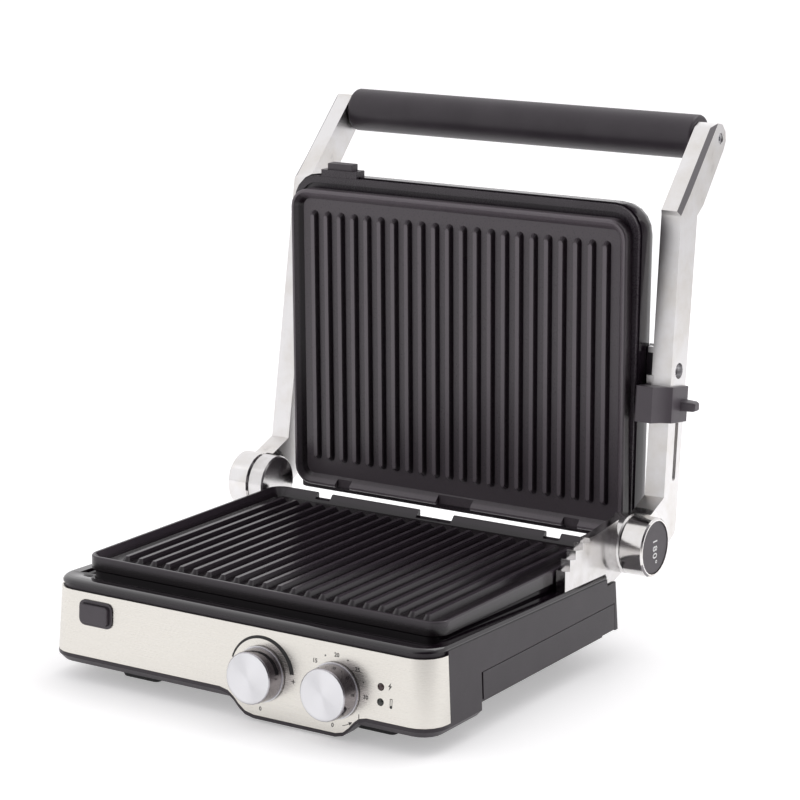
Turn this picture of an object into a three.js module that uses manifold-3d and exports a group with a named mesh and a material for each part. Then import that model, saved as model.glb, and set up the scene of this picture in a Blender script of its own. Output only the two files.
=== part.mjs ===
// Countertop contact grill with a floating lid, opened upright.
// Millimetres. X to the right seen from the front, Y to the rear, Z up.
// The modelling frame has its zero on the rim plane of the lower plate, at the
// middle of its front edge; the hinge axis lies in that same plane.
import * as THREE from "three";
import { mergeVertices } from "three/addons/utils/BufferGeometryUtils.js";
import Module from "manifold-3d";

const wasm = await Module();
wasm.setup();

// Clearances
const seatGap = 0.3;
const overrun = 6;
const weld = 1e-4;

// Ribbed plates: the upper casting is a little smaller than the lower one
const plateWidth = 300;
const plateDepth = 238.1;
const plateCorner = 12;
const upperNarrower = 6.5;
const upperShorter = 2.5;
const ribSide = 22.42;
const upperRibSide = 18.45;
const lowerPlate = {
  width: plateWidth,
  depth: plateDepth,
  corner: plateCorner,
  ribSide,
  drained: true,
};
const upperPlate = {
  width: plateWidth - upperNarrower,
  depth: plateDepth - upperShorter,
  corner: plateCorner + upperShorter,
  ribSide: upperRibSide,
  drained: false,
};
const hingeBehindPlate = 3.2;
const hingeBack = plateDepth + hingeBehindPlate;
const plateLip = 10.75;
const plateRim = 2.4;
const plateRimRound = 0.8;
const channelDrop = 6.2;
const channelSlope = 5.5;
const plateFloor = 3.4;
const lipWall = 3.2;
const ribCount = 22;
const ribBase = 6.6;
const ribCrest = 3.2;
const ribRise = 3.9;
const ribFrontEnd = 16.7;
const ribRearEnd = 19.5;
const ribEndRun = 3.2;
const ribRoundShare = 0.9;
const drainWidth = 31;
const drainSlot = 5.2;
const drainSlotBack = 20.9;
const drainNozzle = 5;
const drainWall = 1.4;
const drainNotch = 5.2;
const pocketWide = 13.6;
const pocketRun = 11.5;
const pocketDrop = 4.4;
const hookInset = 48;
const hookSpread = plateWidth / 2 - hookInset;
const hookWidth = 14;
const hookReach = 3.2;
const hookThick = 3;

// Base housing
const deckMargin = 11.3;
const housingHalf = plateWidth / 2 + deckMargin;
const housingDatum = 41;
const housingFront = 27;
const housingRearAhead = 13;
const housingRear = hingeBack - housingRearAhead;
const sideDraft = 0.0454;
const frontDraft = 0.058;
const rearDraft = 0.05;
const frontCorner = 19;
const rearCorner = 3;
const leastRound = 0.2;
const housingWall = 2.5;
const sideBottom = 61.5;
const frontBandBottom = 67.3;
const bandChamfer = 4.6;
const bandReach = 34.5;
const housingLedge = 9;
const ledgeThick = 2.5;
const bandBack = 2.5;

// Deck
const deckSlope = 0.026;
const deckCrest = 11.2;
const deckAbove = 34;
const deckRimTall = 3;
const deckFrontRound = 7;
const deckSideRound = 2;
const deckSideRing = 8.5;
const deckFrontRing = 13;
const deckRearRing = 6;
const deckRingRun = 1.5;
const troughDeep = 5;
const deckThick = 2.4;
const skirtInset = 5;
const skirtWall = 3;
const skirtRearInset = 12.6;
const skirtRear = plateDepth - skirtRearInset;
const skirtLow = 26;
const reflectorLedge = 4;
const reflectorLedgeThick = 2;
const chuteLow = 40;
const chuteWall = 1.6;
const chuteFlare = 0.3;
const neckInset = 2.2;

// Stainless fascia
const sheet = 1;
const fasciaTop = 18;
const fasciaBottom = 64.6;
const fasciaSideEnd = 5.7;
const dipLow = 79.4;
const dipLipFall = 2.6;
const dipLeftReach = 34.9;
const dipLeftFootReach = 5.5;
const dipRightFootReach = 1;
const dipRightReach = 25.5;
const dipBack = 12;

// Controls
const knobRightInset = 76.3;
const knobPitch = 60.6;
const knobRightX = housingHalf - knobRightInset;
const knobLeftX = knobRightX - knobPitch;
const dipLeft = knobLeftX - dipLeftReach;
const dipLeftFoot = knobLeftX - dipLeftFootReach;
const dipRightFoot = knobRightX + dipRightFootReach;
const dipRight = knobRightX + dipRightReach;
const knobLeftLow = 49.5;
const knobRightLow = 50;
const knobFace = 36.5;
const knobSkirt = 37.8;
const knobRing = 39.5;
const knobRingTall = 1.6;
const knobTall = 13.9;
const knobBevel = 0.9;
const knobDish = 0.4;
const knobStand = 0.6;
const shaftRadius = 3;
const shaftSocket = 9;
const shaftGap = 0.3;
const switchBody = 30;
const switchDeep = 16;
const switchCorner = 2.7;
const switchStem = 4.5;
const lensRadius = 2.35;
const lensInset = 40.2;
const lensX = housingHalf - lensInset;
const lensLow = 41;
const lensPitch = 10.4;
const lensProud = 0.9;
const lensDeep = 6;
const lensDomeShare = 0.6;
const lensRiseShare = 0.8;
const bezelInset = 42.3;
const bezelX = bezelInset - housingHalf;
const bezelLow = 32.2;
const bezelWide = 29.4;
const bezelTall = 18.5;
const bezelCorner = 5;
const bezelWall = 2.3;
const bezelProud = 1.1;
const bezelDeep = 12;
const buttonProud = 2.6;
const buttonDeep = 9;
const buttonTravel = 2.5;

// Drip tray in the right side
const trayFront = 37.2;
const trayRearInset = 5.8;
const trayRear = housingRear - trayRearInset;
const trayTop = 41.5;
const trayBottom = 60.6;
const trayFaceThick = 2.2;
const trayFrontGap = 1.9;
const trayGap = 0.5;
const trayWall = 1.6;
const trayPanInset = 3;
const trayPanRearGap = 0.9;
const trayPanTop = 3;
const trayPanLift = 2.3;
const trayLengthShare = 0.877;
const trayLength = 2 * housingHalf * trayLengthShare;
const trayPanCorner = 8;
const runnerThick = 2.4;
const runnerShares = [0.14, 0.5, 0.86];

// Cord gland in the rear wall
const glandInset = 66.3;
const glandX = glandInset - housingHalf;
const glandLow = 45;
const glandRadius = 5.5;
const glandFlange = 7.5;
const glandLong = 9;
const glandInner = 5;
const glandTaper = 0.6;
const glandBore = 3.4;

// Bottom cover and feet
const coverLow = 67;
const coverThick = 2.4;
const coverInset = 7;
const coverCorner = 4;
const footInset = 61.3;
const footSpread = housingHalf - footInset;
const footFront = 7.5;
const footRearInset = 13.3;
const footRear = housingRear - footRearInset;
const footLong = 34;
const footDeep = 22;
const footCorner = 5;
const footTaper = 1.6;
const footTaperRise = 3.2;
const footTall = 17;
const rimHeight = coverLow + footTall;

// Heaters
const elementRadius = 3.3;
const elementBend = 24;
const elementInset = 26;
const elementLeadShare = 0.2;
const elementDrop = 14;
const panWall = 1.2;
const panDeep = 24;
const panCorner = 9;
const panBarWide = 3;
const panBarShares = [0.25, 0.75];

// Hinge brackets and hubs
const hubRadius = 22;
const ringClear = 0.6;
const ringWide = 14.4;
const hubWide = 19;
const bracketRingIn = plateWidth / 2 + ringClear;
const hubSplit = bracketRingIn + ringWide;
const hubSplitGap = 0.4;
const hubOuter = hubSplit + hubWide;
const hubDisc = 19.4;
const discGap = 0.35;
const discRecess = 0.5;
const discThick = 3;
const discStem = 6;
const discTravel = 2.5;
const stemLong = 5;
const hubEdge = 1.2;
const pinRadius = 5;
const bracketThick = 8.6;
const bracketArmGap = 1.2;
const bracketLegThick = 4.4;
const bracketLegLow = 36;
const bracketLegLong = 50;
const bracketTabAhead = 28.3;
const bracketTabBehind = 14.9;
const bracketTabFront = hingeBack - bracketTabAhead;
const bracketTabRear = hingeBack - bracketTabBehind;
const bracketLegFront = bracketTabFront - bracketLegLong;
const bracketTabLow = 25.6;
const plainFootTop = 8;
const stairRun = 46;
const stairRise = 16.4;
const stairBase = -0.4;
const stairRunShares = [0, 0.147, 0.322, 0.547, 0.755, 1];
const stairRiseShares = [0, 0.415, 0.713, 0.902, 1];
const stairFall = 1.6;
const stairAhead = 14;

// Arms
const pivotRise = 1.65;
const pivotZ = plateDepth / 2 + pivotRise;
const armInset = 7.5;
const armOuterLow = hubOuter - armInset;
const armTaper = 0.0253;
const armWide = 16;
const armFrontBehind = 24;
const armRearBehind = 46.1;
const armFrontLow = hingeBack + armFrontBehind;
const armFrontRake = 0.1268;
const armRearLow = hingeBack + armRearBehind;
const armRearRake = 0.1464;
const kneeOverPivot = 114.3;
const armKnee = pivotZ + kneeOverPivot;
const shelfHigh = 30;
const shelfLow = 22;
const shelfReach = 8;
const armHeel = 3;
const armToeShare = 0.86;
const armRingGap = 0.6;
const handleBehind = 117.7;
const handleOverPivot = 163.3;
const handleY = hingeBack + handleBehind;
const handleZ = pivotZ + handleOverPivot;
const crankEndAhead = 3;
const crankEndRadius = 12;
const crankEndTurn = 0.845;
const crankRise = 3;
const crankBackAhead = 28;
const crankFootAhead = 64;
const crankStart = armKnee + crankRise;
const crankBack = handleY - crankBackAhead;
const crankFoot = handleY - crankFootAhead;

// Handle
const gripRadius = 16.7;
const gripRound = 1.5;
const rodRadius = 5;
const rodSeat = 9;
const handleScrewRadius = 3.8;
const handleScrewDeep = 6;
const handleScrewSink = 0.8;
const screwSocket = 1.6;

// Lid, hung on two pivot bolts between the arms
const pivotBehind = 51.3;
const pivotY = hingeBack + pivotBehind;
const lidLean = 1;
const lidRimAhead = 35.2;
const lidPlateShift = 3.9;
const lidPlateLow = upperPlate.depth / 2 + lidPlateShift;
const lidSideMargin = 5.5;
const lidTopMargin = 10.4;
const lidLowMargin = 7.5;
const lidHalf = upperPlate.width / 2 + lidSideMargin;
const lidTop = upperPlate.depth - lidPlateLow + lidTopMargin;
const lidLow = lidPlateLow + lidLowMargin;
const lidCorner = 22;
const lidFootRoundShare = 0.3;
const lidDeep = 42;
const lidWall = 2.5;
const lidFootInset = 3.6;
const lidFootHalf = lidHalf - lidFootInset;
const lidFootTall = 24;
const lidRingShares = [0, 0.28, 0.5, 0.68, 0.83, 0.94, 1];
const lidTuckShares = [0, 0.02, 0.08, 0.19, 0.37, 0.63, 1];
const lidTuck = 34;
const frameInset = 1.2;
const frameBand = 5.4;
const frameThick = 3;
const frameRecess = 2.2;
const frameFront = 11.65;
const frameNest = 0.9;
const pivotRadius = 4;
const pivotHead = 5.6;
const pivotHeadDeep = 7;
const pivotHeadSink = 4.4;
const pivotSocket = 2.3;
const pivotBossGap = 0.5;
const neckTall = 33;
const neckFront = 6;
const neckRear = 9.5;
const neckRound = 3;
const lugProud = 4;
const lugDeep = 3.6;
const lugHigh = 134.2;
const lugLow = 111.5;
const lugHighTall = 4.4;
const lugLowTall = 6.4;
const topButtonInset = 42.6;
const topButtonX = topButtonInset - lidHalf;
const topButtonWide = 22.4;
const topButtonTall = 5;
const topButtonSunk = 4;
const topButtonDeep = 8.6;
const topButtonTravel = 3;
const topGuideTall = 5.3;
const topGuideDeep = 8.6;
const topGuideWall = 1.4;
const topGuideSide = 5.1;

// Height slider on the right arm
const sliderLow = 85;
const sliderHigh = 111;
const sliderFront = 17.5;
const sliderLidGap = 1.1;
const sliderIn = lidHalf + sliderLidGap;
const sliderInDeep = 4.4;
const sliderNose = 14.8;
const sliderScoopSide = 2.2;
const sliderScoopAhead = 5;
const sliderLip = 2;
const sliderGap = 0.4;
const sliderCheek = 3;
const sliderWrap = 22;
const sliderRound = 2;
const wingLow = 95.2;
const wingReach = 12.4;
const wingBehind = 11;
const wingTall = 8;
const wingDeep = 11;
const wingTallShares = [1, 0.9, 0.7];
const wingDeepShares = [1, 0.82, 0.6];
const wingRoundShare = 0.25;
const slotWide = 5;
const slotDeep = 4;
const slotBack = 13.7;
const slotTop = 91;
const slotLow = 39.6;
const pegHigh = 88.1;

// Tessellation counts
const roundSteps = 26;
const cornerSteps = 5;
const tubeSteps = 3;
const fineSteps = 20;
const coarseSteps = 14;

const black = { color: 0x17161a, roughness: 0.42, metalness: 0 };
const gloss = { color: 0x0c0b0e, roughness: 0.14, metalness: 0 };
const nonStick = { color: 0x242226, roughness: 0.5, metalness: 0.1 };
const rubber = { color: 0x121214, roughness: 0.85, metalness: 0 };
const darkGrey = { color: 0x37363a, roughness: 0.6, metalness: 0 };
const steel = { color: 0xc9c5bd, roughness: 0.3, metalness: 1 };
const castAlloy = { color: 0xd8d9dc, roughness: 0.24, metalness: 1 };
const spunAlloy = { color: 0xdadbde, roughness: 0.2, metalness: 1 };
const pressed = { color: 0x9c9da0, roughness: 0.4, metalness: 1 };
const sheath = { color: 0x6b6a68, roughness: 0.5, metalness: 0.8 };
const lensRed = { color: 0x5a2023, roughness: 0.2, metalness: 0 };
const lensGreen = { color: 0x2c3a30, roughness: 0.2, metalness: 0 };

// Solids and meshes
function solid(geometry) {
  const bare = geometry.clone();
  bare.deleteAttribute("normal");
  bare.deleteAttribute("uv");
  const merged = mergeVertices(bare, weld);
  const index = new Uint32Array(merged.index.array);
  const made = solidFrom(merged.attributes.position.array, index);
  if (made.volume() > 0) return made;
  for (let i = 0; i < index.length; i += 3) {
    [index[i + 1], index[i + 2]] = [index[i + 2], index[i + 1]];
  }
  return solidFrom(merged.attributes.position.array, index);
}

function solidFrom(vertProperties, triVerts) {
  const mesh = new wasm.Mesh({ numProp: 3, vertProperties, triVerts });
  return new wasm.Manifold(mesh);
}

function meshOf(name, body, look) {
  const made = body.getMesh();
  const geometry = new THREE.BufferGeometry();
  const position = new THREE.BufferAttribute(made.vertProperties, 3);
  geometry.setAttribute("position", position);
  geometry.setIndex(new THREE.BufferAttribute(made.triVerts, 1));
  const flat = geometry.toNonIndexed();
  flat.computeVertexNormals();
  const mesh = new THREE.Mesh(flat, new THREE.MeshStandardMaterial(look));
  mesh.name = name;
  return mesh;
}

function joined(parts) {
  return parts.reduce((all, part) => all.add(part));
}

function without(body, cuts) {
  return cuts.reduce((left, cut) => left.subtract(cut), body);
}

// Outlines in a plane, counter-clockwise lists of Vector2
function roundedBox(x0, y0, x1, y1, radii, steps = cornerSteps) {
  const [r00, r10, r11, r01] = radii;
  const corners = [
    [x0 + r00, y0 + r00, r00, Math.PI],
    [x1 - r10, y0 + r10, r10, 1.5 * Math.PI],
    [x1 - r11, y1 - r11, r11, 0],
    [x0 + r01, y1 - r01, r01, 0.5 * Math.PI],
  ];
  const points = [];
  for (const [cx, cy, r, start] of corners) {
    for (let i = 0; i <= steps; i++) {
      const a = start + (i / steps) * 0.5 * Math.PI;
      const x = cx + r * Math.cos(a);
      const y = cy + r * Math.sin(a);
      points.push(new THREE.Vector2(x, y));
    }
  }
  return points;
}

function allCorners(r) {
  return [r, r, r, r];
}

function polygon(pairs) {
  return pairs.map(([x, y]) => new THREE.Vector2(x, y));
}

// Loft through rings of equally many 3-D points, closed by flat end caps
function loft(rings, capPlane = (p) => new THREE.Vector2(p.x, p.y)) {
  const count = rings[0].length;
  const position = rings.flat().flatMap((p) => [p.x, p.y, p.z]);
  const index = [];
  for (let k = 0; k + 1 < rings.length; k++) {
    for (let i = 0; i < count; i++) {
      const a = k * count + i;
      const b = k * count + ((i + 1) % count);
      index.push(a, b, b + count, a, b + count, a + count);
    }
  }
  const last = (rings.length - 1) * count;
  const flatEnd = rings[0].map(capPlane);
  for (const [a, b, c] of THREE.ShapeUtils.triangulateShape(flatEnd, [])) {
    index.push(a, c, b);
    index.push(last + a, last + b, last + c);
  }
  const geometry = new THREE.BufferGeometry();
  const array = new Float32Array(position);
  geometry.setAttribute("position", new THREE.BufferAttribute(array, 3));
  geometry.setIndex(index);
  return solid(geometry);
}

function ringAt(points, height) {
  const z = typeof height === "function" ? height : () => height;
  return points.map((p) => new THREE.Vector3(p.x, p.y, z(p.x, p.y)));
}

function prism(points, from, to, axes) {
  const shape = new THREE.Shape(points);
  const depth = to - from;
  const options = { depth, bevelEnabled: false, steps: 1 };
  const geometry = new THREE.ExtrudeGeometry(shape, options);
  const [u, v, w] = axes;
  const frame = new THREE.Matrix4().makeBasis(u, v, w);
  frame.setPosition(w.clone().multiplyScalar(from));
  return solid(geometry.applyMatrix4(frame));
}

const ex = new THREE.Vector3(1, 0, 0);
const ey = new THREE.Vector3(0, 1, 0);
const ez = new THREE.Vector3(0, 0, 1);

// Prisms along each axis: outline in (x, y), (y, z) and (x, z)
function prismZ(points, z0, z1) {
  return prism(points, z0, z1, [ex, ey, ez]);
}

function prismX(points, x0, x1) {
  return prism(points, x0, x1, [ey, ez, ex]);
}

function prismY(points, y0, y1) {
  return prism(points, -y1, -y0, [ex, ez, ey.clone().negate()]);
}

function block(x0, y0, z0, x1, y1, z1) {
  const box = new THREE.BoxGeometry(x1 - x0, y1 - y0, z1 - z0);
  box.translate((x0 + x1) / 2, (y0 + y1) / 2, (z0 + z1) / 2);
  return solid(box);
}

// Turned bodies: profile is a list of [radius, along], along the given axis
function turned(profile, axis, origin, steps = roundSteps) {
  const points = profile.map(([r, a]) => new THREE.Vector2(r, a));
  const geometry = new THREE.LatheGeometry(points, steps);
  const turn = new THREE.Quaternion().setFromUnitVectors(ey, axis);
  geometry.applyQuaternion(turn);
  geometry.translate(origin.x, origin.y, origin.z);
  return solid(geometry);
}

function rod(radius, from, to, axis, origin, steps = roundSteps) {
  const profile = [
    [0, from],
    [radius, from],
    [radius, to],
    [0, to],
  ];
  return turned(profile, axis, origin, steps);
}

// A tube along a path of points with rounded bends
function tubeAlong(points, radius, bend) {
  const path = new THREE.CurvePath();
  let from = points[0];
  for (let i = 1; i + 1 < points.length; i++) {
    const corner = points[i];
    const before = corner.clone().sub(points[i - 1]).normalize();
    const after = points[i + 1].clone().sub(corner).normalize();
    const start = corner.clone().addScaledVector(before, -bend);
    const end = corner.clone().addScaledVector(after, bend);
    path.add(new THREE.LineCurve3(from, start));
    path.add(new THREE.QuadraticBezierCurve3(start, corner, end));
    from = end;
  }
  path.add(new THREE.LineCurve3(from, points[points.length - 1]));
  const shape = new THREE.Shape();
  shape.absarc(0, 0, radius, 0, 2 * Math.PI, false);
  const steps = points.length * tubeSteps;
  const options = { steps, curveSegments: 4, extrudePath: path };
  return solid(new THREE.ExtrudeGeometry(shape, options));
}

// Base housing envelope: a rounded box with drafted sides
function housingOutline(z, inset) {
  const fall = -z - housingDatum;
  const half = housingHalf + sideDraft * fall - inset;
  const front = -housingFront - frontDraft * fall + inset;
  const rear = housingRear + rearDraft * fall - inset;
  const fc = Math.max(frontCorner - inset, rearCorner);
  const rc = Math.max(rearCorner - inset, leastRound);
  return roundedBox(-half, front, half, rear, [fc, fc, rc, rc]);
}

function housingEnvelope(z0, z1, inset) {
  const low = ringAt(housingOutline(z0, inset), z0);
  const high = ringAt(housingOutline(z1, inset), z1);
  return loft([low, high]);
}

function fasciaPlane(z) {
  return -housingFront - frontDraft * (-z - housingDatum);
}

// Lower edge of the fascia: straight, with the dip that clears the knobs
function fasciaEdge(fall, top, wide) {
  const curve = (x0, z0, x1, z1) => {
    const mid = (x0 + x1) / 2;
    const a = new THREE.Vector2(x0, z0);
    const b = new THREE.Vector2(mid, z0);
    const c = new THREE.Vector2(mid, z1);
    const d = new THREE.Vector2(x1, z1);
    return new THREE.CubicBezierCurve(a, b, c, d).getPoints(cornerSteps);
  };
  const bottom = -fasciaBottom - fall;
  const low = -dipLow - fall;
  return [
    new THREE.Vector2(-wide, bottom),
    ...curve(dipLeft, bottom, dipLeftFoot, low),
    ...curve(dipRightFoot, low, dipRight, bottom),
    new THREE.Vector2(wide, bottom),
    new THREE.Vector2(wide, top),
    new THREE.Vector2(-wide, top),
  ].filter((p, i, all) => i === 0 || p.distanceTo(all[i - 1]) > weld);
}

// Ribbed plate casting. Grilling side up, front edge at y = 0, rim at z = 0
function plateOutline(plate, inset) {
  const half = plate.width / 2 - inset;
  const r = Math.max(plate.corner - inset, plate.corner / 4);
  const far = plate.depth - inset;
  return roundedBox(-half, inset, half, far, allCorners(r));
}

function ribBody(plate, x) {
  const y0 = ribFrontEnd;
  const y1 = plate.depth - ribRearEnd;
  const foot = -channelDrop - plateFloor / 2;
  const base = [ribBase / 2, y0, y1];
  const crest = [ribCrest / 2, y0 + ribEndRun, y1 - ribEndRun];
  const outline = ([h, a, b], z) =>
    roundedBox(x - h, a, x + h, b, allCorners(h * ribRoundShare), 2).map(
      (p) => new THREE.Vector3(p.x, p.y, z),
    );
  const top = -channelDrop + ribRise;
  return loft([
    outline(base, foot),
    outline(base, -channelDrop),
    outline(crest, top),
  ]);
}

function drainSpan(plate, grow) {
  const half = drainWidth / 2 + grow;
  const middle = plate.depth - drainSlotBack;
  const reach = drainSlot / 2 + grow;
  return [-half, middle - reach, half, middle + reach];
}

// U-shaped pocket that breaks the rear rim over a hook
function pocketBody(plate, x) {
  const half = pocketWide / 2;
  const y0 = plate.depth - pocketRun;
  const y1 = plate.depth + overrun;
  const radii = [half, half, weld, weld];
  const outline = roundedBox(x - half, y0, x + half, y1, radii, 4);
  return prismZ(outline, -pocketDrop, overrun);
}

function plateBody(plate) {
  const outline = (inset) => plateOutline(plate, inset);
  const shell = loft([
    ringAt(outline(plateRimRound), -plateLip),
    ringAt(outline(0), -plateLip + plateRimRound),
    ringAt(outline(0), -plateRimRound),
    ringAt(outline(plateRimRound), 0),
  ]);
  const wallFoot = plateRim + channelSlope;
  const well = loft([
    ringAt(outline(wallFoot), -channelDrop),
    ringAt(outline(plateRim), 0),
    ringAt(outline(plateRim), overrun),
  ]);
  const under = loft([
    ringAt(outline(lipWall), -plateLip - overrun),
    ringAt(outline(lipWall), -channelDrop - plateFloor),
  ]);
  const rimFoot = plate.depth - plateRim - channelSlope;
  const far = plate.depth + overrun;
  const half = drainWidth / 2;
  const notch = block(-half, rimFoot, -drainNotch, half, far, overrun);
  const pockets = [-hookSpread, hookSpread].map((x) => pocketBody(plate, x));
  const hooks = [-hookSpread, hookSpread].map((x) =>
    block(
      x - hookWidth / 2,
      plate.depth - lipWall,
      -plateLip,
      x + hookWidth / 2,
      plate.depth + hookReach,
      -plateLip + hookThick,
    ),
  );
  const ribs = [];
  for (let i = 0; i < ribCount; i++) {
    const share = i / (ribCount - 1);
    ribs.push(ribBody(plate, (plate.width - 2 * plate.ribSide) * (share - 0.5)));
  }
  const pan = without(shell, [well, under, notch, ...pockets]);
  const casting = joined([plate.drained ? drained(plate, pan) : pan, ...hooks]);
  return joined([casting, ...ribs]);
}

// Pan with the drain slot and the nozzle that guides the fat into the chute
function drained(plate, pan) {
  const low = -plateLip - drainNozzle;
  const [x0, near, x1, far] = drainSpan(plate, drainWall);
  const nozzle = block(x0, near, low, x1, far, -channelDrop - plateFloor / 2);
  const [left, front, right, rear] = drainSpan(plate, 0);
  const slot = block(left, front, low - overrun, right, rear, 0);
  return pan.add(nozzle).subtract(slot);
}

// Heat reflector pan and tubular element, rim plane of the plate at z = 0
function openingOutline(plate, inset) {
  const half = plate.width / 2 - skirtInset - skirtWall - inset;
  const near = skirtInset + skirtWall + inset;
  const far = drainSpan(plate, drainWall)[1] - drainWall - inset;
  const r = Math.max(panCorner - inset, panWall);
  return roundedBox(-half, near, half, far, allCorners(r));
}

function flangeTop() {
  return -elementDrop - elementRadius + panWall / 2;
}

function reflectorBody(plate) {
  const top = flangeTop();
  const floor = -elementDrop - panDeep;
  const inset = reflectorLedge + 2 * seatGap;
  const flange = prismZ(openingOutline(plate, seatGap), top - panWall, top);
  const outer = prismZ(openingOutline(plate, inset), floor, top);
  const mouth = openingOutline(plate, inset + panWall);
  const hollow = prismZ(mouth, floor + panWall, overrun);
  const half = plate.width / 2 - skirtInset - skirtWall - inset;
  const saddleTop = -elementDrop - elementRadius - seatGap;
  const bars = panBarShares.map((share) => {
    const y = plate.depth * share;
    const x1 = half - panWall / 2;
    const z0 = floor + panWall / 2;
    return block(-x1, y - panBarWide / 2, z0, x1, y + panBarWide / 2, saddleTop);
  });
  return joined([without(outer.add(flange), [hollow]), ...bars]);
}

function elementBody(plate) {
  const half = plate.width / 2 - elementInset;
  const near = skirtInset + elementInset;
  const far = drainSpan(plate, drainWall)[1] - elementInset;
  const inner = half * elementLeadShare;
  const path = [
    [inner, far - elementBend],
    [inner, near],
    [half, near],
    [half, far],
    [-half, far],
    [-half, near],
    [-inner, near],
    [-inner, far - elementBend],
  ];
  const points = path.map(([x, y]) => new THREE.Vector3(x, y, -elementDrop));
  return tubeAlong(points, elementRadius, elementBend / 2);
}

// Deck: sloped glossy rim, trough round the plate and the skirt that carries it
function crest(y) {
  return -deckCrest - deckSlope * (y + housingFront);
}

function deckOutline(front, side, rear) {
  const fall = deckCrest - housingDatum;
  const half = housingHalf + sideDraft * fall - side;
  const near = -housingFront - frontDraft * fall + front;
  const far = housingRear + rearDraft * fall - rear;
  const fc = frontCorner - (front + side) / 2;
  return roundedBox(-half, near, half, far, [fc, fc, rearCorner, rearCorner]);
}

function belowCrest(depth) {
  return (x, y) => crest(y) - depth;
}

function skirtOutline(inset) {
  const half = plateWidth / 2 - skirtInset - inset;
  const near = skirtInset + inset;
  const far = skirtRear - inset;
  const r = plateCorner - inset;
  return roundedBox(-half, near, half, far, allCorners(r));
}

function deckBody() {
  const rings = [];
  for (let i = 0; i <= cornerSteps; i++) {
    const a = (i / cornerSteps) * 0.5 * Math.PI;
    const run = 1 - Math.cos(a);
    const side = deckSideRound * run;
    const outline = deckOutline(deckFrontRound * run, side, side);
    rings.push(ringAt(outline, belowCrest(deckRimTall * (1 - Math.sin(a)))));
  }
  const rim = loft(rings);
  const cavity = housingOutline(-deckCrest, cavityInset() + seatGap);
  const slab = loft([
    ringAt(cavity, belowCrest(troughDeep + deckThick)),
    ringAt(cavity, belowCrest(deckRimTall / 2)),
  ]);
  const run = deckRingRun;
  const floor = [deckFrontRing + run, deckSideRing + run, deckRearRing + run];
  const mouth = [deckFrontRing, deckSideRing, deckRearRing];
  const trough = loft([
    ringAt(deckOutline(...floor), belowCrest(troughDeep)),
    ringAt(deckOutline(...mouth), belowCrest(0)),
    ringAt(deckOutline(...mouth), belowCrest(-overrun)),
  ]);
  const skirtTop = -plateLip - seatGap;
  const ring = without(prismZ(skirtOutline(0), -skirtLow, skirtTop), [
    prismZ(skirtOutline(skirtWall), -skirtLow - overrun, overrun),
  ]);
  const inside = prismZ(cavity, -skirtLow - overrun, overrun);
  const above = loft([
    ringAt(deckOutline(0, 0, 0), belowCrest(deckRimTall)),
    ringAt(deckOutline(0, 0, 0), belowCrest(-deckAbove)),
  ]);
  const skirt = ring.intersect(inside.add(above));
  const ledgeTop = flangeTop() - panWall - seatGap;
  const around = openingOutline(lowerPlate, -drainWall);
  const coaming = prismZ(around, -skirtLow, ledgeTop);
  const chute = chuteBlock(chuteWall, -chuteLow, skirtTop - drainNozzle - deckThick);
  const shell = joined([without(rim.add(slab), [trough]), skirt, coaming, chute]);
  return without(shell, [
    prismZ(openingOutline(lowerPlate, reflectorLedge), -chuteLow, overrun),
    prismZ(openingOutline(lowerPlate, 0), ledgeTop, overrun),
    chuteBlock(0, -chuteLow - overrun, overrun),
  ]);
}

function chuteBlock(wall, z0, z1) {
  const [x0, near, x1, far] = drainSpan(lowerPlate, chuteFlare + wall);
  return block(x0, near, z0, x1, far, z1);
}

// Lower housing
function cavityInset() {
  return sheet + seatGap + housingWall;
}

function fasciaZone(y1, z0, z1) {
  const wide = housingHalf + overrun;
  return block(-wide, -housingFront - overrun, z0, wide, y1, z1);
}

function fasciaSweep(fall, top, grow, y1) {
  const wide = housingHalf + overrun;
  const outline = fasciaEdge(fall, top, wide);
  return prismY(outline, -housingFront - overrun, y1 + grow);
}

function housingBody() {
  const wide = housingHalf + 2 * overrun;
  const envelopeLow = -dipLow - dipLipFall - overrun;
  const main = housingEnvelope(-sideBottom, 0, 0);
  const bandLow = -frontBandBottom - bandChamfer;
  const band = loft([
    ringAt(housingOutline(bandLow, bandChamfer), bandLow),
    ringAt(housingOutline(-frontBandBottom, 0), -frontBandBottom),
    ringAt(housingOutline(-sideBottom, 0), -sideBottom),
  ]).intersect(
    block(-wide, -housingFront - overrun, bandLow, wide, bandReach, -sideBottom),
  );
  const bulgeBack = -housingFront + dipBack;
  const bulge = fasciaSweep(dipLipFall, -fasciaTop, 0, bulgeBack).intersect(
    housingEnvelope(envelopeLow, -sideBottom, 0),
  );
  const inset = cavityInset();
  const upper = housingEnvelope(-sideBottom + ledgeThick, overrun, inset);
  const lower = block(
    -housingHalf + housingLedge,
    bandReach,
    -sideBottom - overrun,
    housingHalf - housingLedge,
    housingRear - housingLedge,
    0,
  );
  const bandFloor = bandLow + housingWall;
  const front = housingEnvelope(bandFloor, 0, inset).intersect(
    block(-wide, -housingFront, bandFloor, wide, bandReach - bandBack, 0),
  );
  const top = loft([
    ringAt(deckOutline(-overrun, -overrun, -overrun), belowCrest(deckRimTall + seatGap)),
    ringAt(deckOutline(-overrun, -overrun, -overrun), belowCrest(-deckAbove)),
  ]);
  const body = without(joined([main, band, bulge]), [upper, lower, front, top]);
  return without(body, [
    fasciaPocket(),
    neckGroove(),
    trayOpening(),
    ...controlHoles(seatGap),
    glandTurned([
      [0, -2 * overrun],
      [glandRadius + seatGap, -2 * overrun],
      [glandRadius + seatGap, overrun],
      [0, overrun],
    ]),
  ]);
}

function glandTurned(profile) {
  const rear = housingRear + rearDraft * (glandLow - housingDatum);
  const axis = new THREE.Vector3(0, 1, rearDraft).normalize();
  return turned(profile, axis, new THREE.Vector3(glandX, rear, -glandLow), 20);
}

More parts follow.
